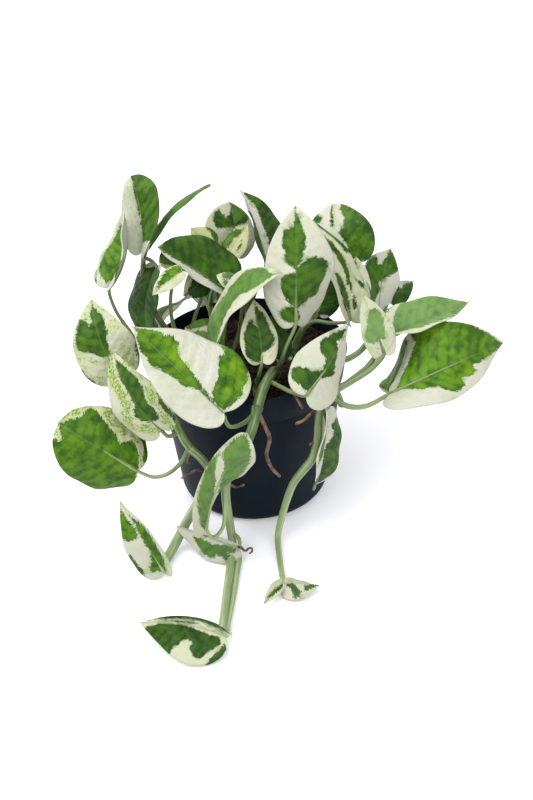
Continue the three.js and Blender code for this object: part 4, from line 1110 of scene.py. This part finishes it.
def green_colour(s, flat, depth, brightness_and_shade, side_vein, painted_quilt_light):
    """Green, clouded and sunlit in places, with painted shade on leaves of low brightness, darker at the
    patch's edge and greyer on pale leaves.
    """
    dark = s.mix(brightness_and_shade, *DARK_GREENS)
    cloud = s.noise(flat, 0.13, 4.0, 0.55)
    # Painted light and shade of the quilting lighten the green between the side veins and darken it towards
    # them.
    colour = s.mix(s.ramp(s.plus(cloud, painted_quilt_light), 0.34, 0.66), dark, s.mix(brightness_and_shade, *LIGHT_GREENS))
    sunny = s.ramp(s.noise(flat, 0.055, 2.0), 0.56, 0.72, 0.0, 0.55)
    colour = s.mix(s.times(sunny, brightness_and_shade), colour, SUNLIT_GREEN)
    colour = s.mix(s.times(side_vein, 0.24), colour, VEIN_GREEN)
    colour = s.mix(s.ramp(depth, 0.0, 2.0, 0.45, 0.0), colour, dark)
    mottle = s.ramp(s.noise(flat, 0.2, 2.0), 0.3, 0.65, 0.6, 1.0)
    return s.mix(s.times(mottle, s.attribute("pale", "Fac")), colour, PALE_GREEN)


def white_colour(s, flat, depth, tone, side_vein):
    """White to cream, with a pale green band along the patches and specks outside them."""
    brightness_and_shade, creaminess, speckles = tone
    tint = s.ramp(s.noise(flat, 0.06, 2.0), 0.4, 0.75, 0.0, 0.4)
    colour = s.mix(tint, s.mix(creaminess, *CREAMS), WHITE_TINT)
    colour = s.mix(s.times(side_vein, 0.12), colour, WHITE_VEIN)

    specks = s.noise(flat, 0.9, 3.0, 0.7)
    band = s.ramp(s.noise(flat, 0.11, 2.0), 0.5, 0.66, 0.0, 2.6)
    gaps = s.times(s.ramp(specks, 0.42, 0.6, 1.0, 0.0), speckles)
    halo = s.times(s.ramp(s.plus(depth, band), 0.0, 0.35), s.minus(0.5, s.times(gaps, 0.45)))
    colour = s.mix(halo, colour, s.mix(brightness_and_shade, *GREY_GREENS))

    green = s.attribute("green", "Fac")
    near = s.times(s.ramp(green, -14.0, -5.0), s.ramp(green, -2.0, -0.4, 1.0, 0.45))
    cluster = s.times(near, s.ramp(s.noise(flat, 0.13, 2.0), 0.33, 0.52))
    freckled = s.times(cluster, speckles)
    limit = s.minus(0.8, s.times(freckled, 0.35))
    colour = s.mix(s.times(freckled, 0.5), colour, FRECKLED_WHITE)
    return s.mix(s.ramp(s.minus(specks, limit), 0.0, 0.08), colour, SPECK_GREEN)


def leaf_material(name, underside):
    """White and cream marbled with green: jagged patches that follow the side veins."""
    s = Shader(name)
    flat = s.attribute("flat")
    tone = s.split(s.attribute("tone"))
    along, y, _ = s.split(s.attribute("vein"))
    depth = patch_depth(s, along, y, flat)
    side_vein, painted_quilt_light = side_veins(s, along, flat)
    green = green_colour(s, flat, depth, tone[0], side_vein, painted_quilt_light)
    white = white_colour(s, flat, depth, tone, side_vein)
    colour = s.mix(s.ramp(depth, -0.12, 0.12), white, green)
    rib = s.ramp(s.math("ABSOLUTE", y), 0.15, 0.7, 1.0, 0.0)
    colour = s.mix(s.times(rib, 0.3), colour, RIB_GREEN)
    if underside:
        colour = s.mix(0.15, colour, UNDERSIDE)

    fine = s.noise(flat, 3.2, 3.0)
    normal = s.bump(s.noise(flat, 0.2, 2.0), 0.002, 0.6)
    normal = s.bump(fine, 0.00012, 0.5, normal)
    return s.surface({
        "Base Color": colour,
        "Normal": s.bump(side_vein, 0.00025, 1.0 if underside else 0.5, normal),
        "Roughness": 0.6 if underside else s.ramp(fine, 0.3, 0.7, 0.34, 0.46),
        "Specular IOR Level": 0.13,
    })


def stem_material():
    """Pale green stems and petioles with white streaks, darkened with painted shade high up among the
    leaves, and brown aerial roots.
    """
    s = Shader("stem_skin")
    along, turn, kind = s.split(s.attribute("limb"))
    place = s.place()
    x, _, z = s.split(place)
    round_x = s.times(s.math("COSINE", turn), 1.6)
    round_y = s.times(s.math("SINE", turn), 1.6)
    streak = s.noise(s.join(round_x, round_y, s.times(along, 0.03)), 1.0, 2.0)
    cloud = s.noise(place, 60.0, 3.0)
    colour = s.mix(s.ramp(cloud, 0.35, 0.7), *STEM_GREENS)
    colour = s.mix(s.ramp(streak, 0.47, 0.63, 0.0, 0.6), colour, STEM_STREAK)
    colour = s.mix(s.ramp(x, 0.0, 0.04, 0.0, 0.25), colour, STEM_RIGHT)
    # Painted shade: the stems darken high up, where they lie among the leaves.
    colour = s.mix(s.ramp(z, 0.085, 0.105, 0.0, 0.35), colour, STEM_CROWN_SHADE)
    colour = s.mix(s.ramp(z, 0.02, 0.085, 0.4, 0.0), colour, STEM_LOWER)
    bark = s.mix(s.ramp(s.noise(place, 260.0, 3.0), 0.35, 0.7), *ROOT_BROWNS)
    colour = s.mix(s.math("GREATER_THAN", kind, (PETIOLE + ROOT) / 2), colour, bark)
    normal = s.bump(s.noise(place, 900.0, 3.0), 0.0002, 0.5)
    return s.surface({"Base Color": colour, "Normal": normal, "Roughness": 0.42})


def pot_material():
    """Blue-black moulded plastic with a faint grain and dusty scuffs."""
    s = Shader("pot_plastic")
    scuff = s.noise(s.place(), 38.0, 5.0, 0.65)
    grain = s.noise(s.place(), 2200.0, 2.0)
    return s.surface({
        "Base Color": s.mix(s.ramp(scuff, 0.45, 0.75, 0.0, 0.35), *POT_COLOURS),
        "Normal": s.bump(grain, 0.00008, 0.6),
        "Roughness": s.ramp(scuff, 0.3, 0.7, 0.46, 0.6),
        "Specular IOR Level": 0.08,
    })


def soil_material():
    """Damp potting mix, from black peat to brown bark."""
    s = Shader("potting_mix")
    patches = s.noise(s.place(), 320.0, 3.0, 0.6)
    lumps = s.noise(s.place(), 900.0, 4.0)
    return s.surface({
        "Base Color": s.mix(s.ramp(patches, 0.4, 0.68), *SOIL_COLOURS),
        "Normal": s.bump(lumps, 0.0006, 0.8),
        "Roughness": 0.95,
        "Specular IOR Level": 0.2,
    })


def floor_material():
    """A white ground that glows a little, more so further back."""
    s = Shader("studio_floor")
    return s.surface({
        "Base Color": s.mix(s.ramp(s.noise(s.place(), 4.0, 2.0), 0.3, 0.7), *GROUND_COLOURS),
        "Roughness": 0.9,
        "Specular IOR Level": 0.0,
        "Emission Color": (1, 1, 1, 1),
        "Emission Strength": s.ramp(s.split(s.place())[1], 0.5, 1.3, 0.16, 0.34),
    })


# Studio


def stand(name, data, place, axes):
    """An object at a place, with its own X, Y and Z along three axes."""
    obj = bpy.data.objects.new(name, data)
    rows = [[*(axis[k] for axis in axes), place[k] * MM] for k in range(3)]
    obj.matrix_world = Matrix([*rows, [0, 0, 0, 1]])
    bpy.context.scene.collection.objects.link(obj)
    return obj


def area_light(name, place, size, power):
    light = bpy.data.lights.new(name, "AREA")
    light.shape = "RECTANGLE"
    light.size, light.size_y = size
    light.energy = power
    back = unit(np.array(place, float) - LIGHT_TARGET)
    right = unit(np.cross([0, 0, 1], back))
    stand(name, light, place, (right, np.cross(back, right), back))


def add_camera():
    camera = bpy.data.cameras.new("camera")
    camera.lens = LENS_MM
    camera.sensor_width = SENSOR_MM
    camera.clip_start = NEAR_CLIP * MM
    axes = (CAMERA_RIGHT, CAMERA_UP, CAMERA_BACK)
    bpy.context.scene.camera = stand("camera", camera, CAMERA_PLACE, axes)


def add_studio():
    corners = [(x * FLOOR_REACH, y * FLOOR_REACH, 0) for x, y in ((-1, -1), (1, -1), (1, 1), (-1, 1))]
    floor = new_object("floor", corners, [(0, 1, 2, 3)])
    floor.data.materials.append(floor_material())
    for name, light in LIGHTS.items():
        area_light(name, **light)
    world = bpy.data.worlds.new("studio")
    world.use_nodes = True
    background = world.node_tree.nodes["Background"].inputs
    background["Color"].default_value = WORLD_COLOUR
    background["Strength"].default_value = WORLD_STRENGTH
    bpy.context.scene.world = world
    bpy.context.scene.view_settings.view_transform = "Standard"


# The dressed object


def add_pot():
    pot = pot_object()
    pot.data.materials.append(pot_material())
    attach(pot, "root")
    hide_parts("pot")


def add_soil():
    material = soil_material()
    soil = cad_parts["soil"]
    soil.data.materials.clear()
    soil.data.materials.append(material)
    crumbs = soil_crumbs()
    crumbs.data.materials.append(material)
    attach(crumbs, "root")


def add_plant():
    blades = [leaf_material("leaf_top", False), leaf_material("leaf_under", True)]
    skin = stem_material()
    leaves = [settle(name, seed) for seed, name in enumerate(LEAVES, 1)]
    for node in SHOOTS:
        prefix = node.removeprefix("stem_") + "_"
        own = [leaf for leaf in leaves if leaf["name"].startswith(prefix)]
        parts = [leaf_object(leaf, blades) for leaf in own]
        parts.append(stem_object(node, own, skin))
        for part in parts:
            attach(part, "root")
            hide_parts(node)


add_camera()
add_studio()
add_pot()
add_soil()
add_plant()
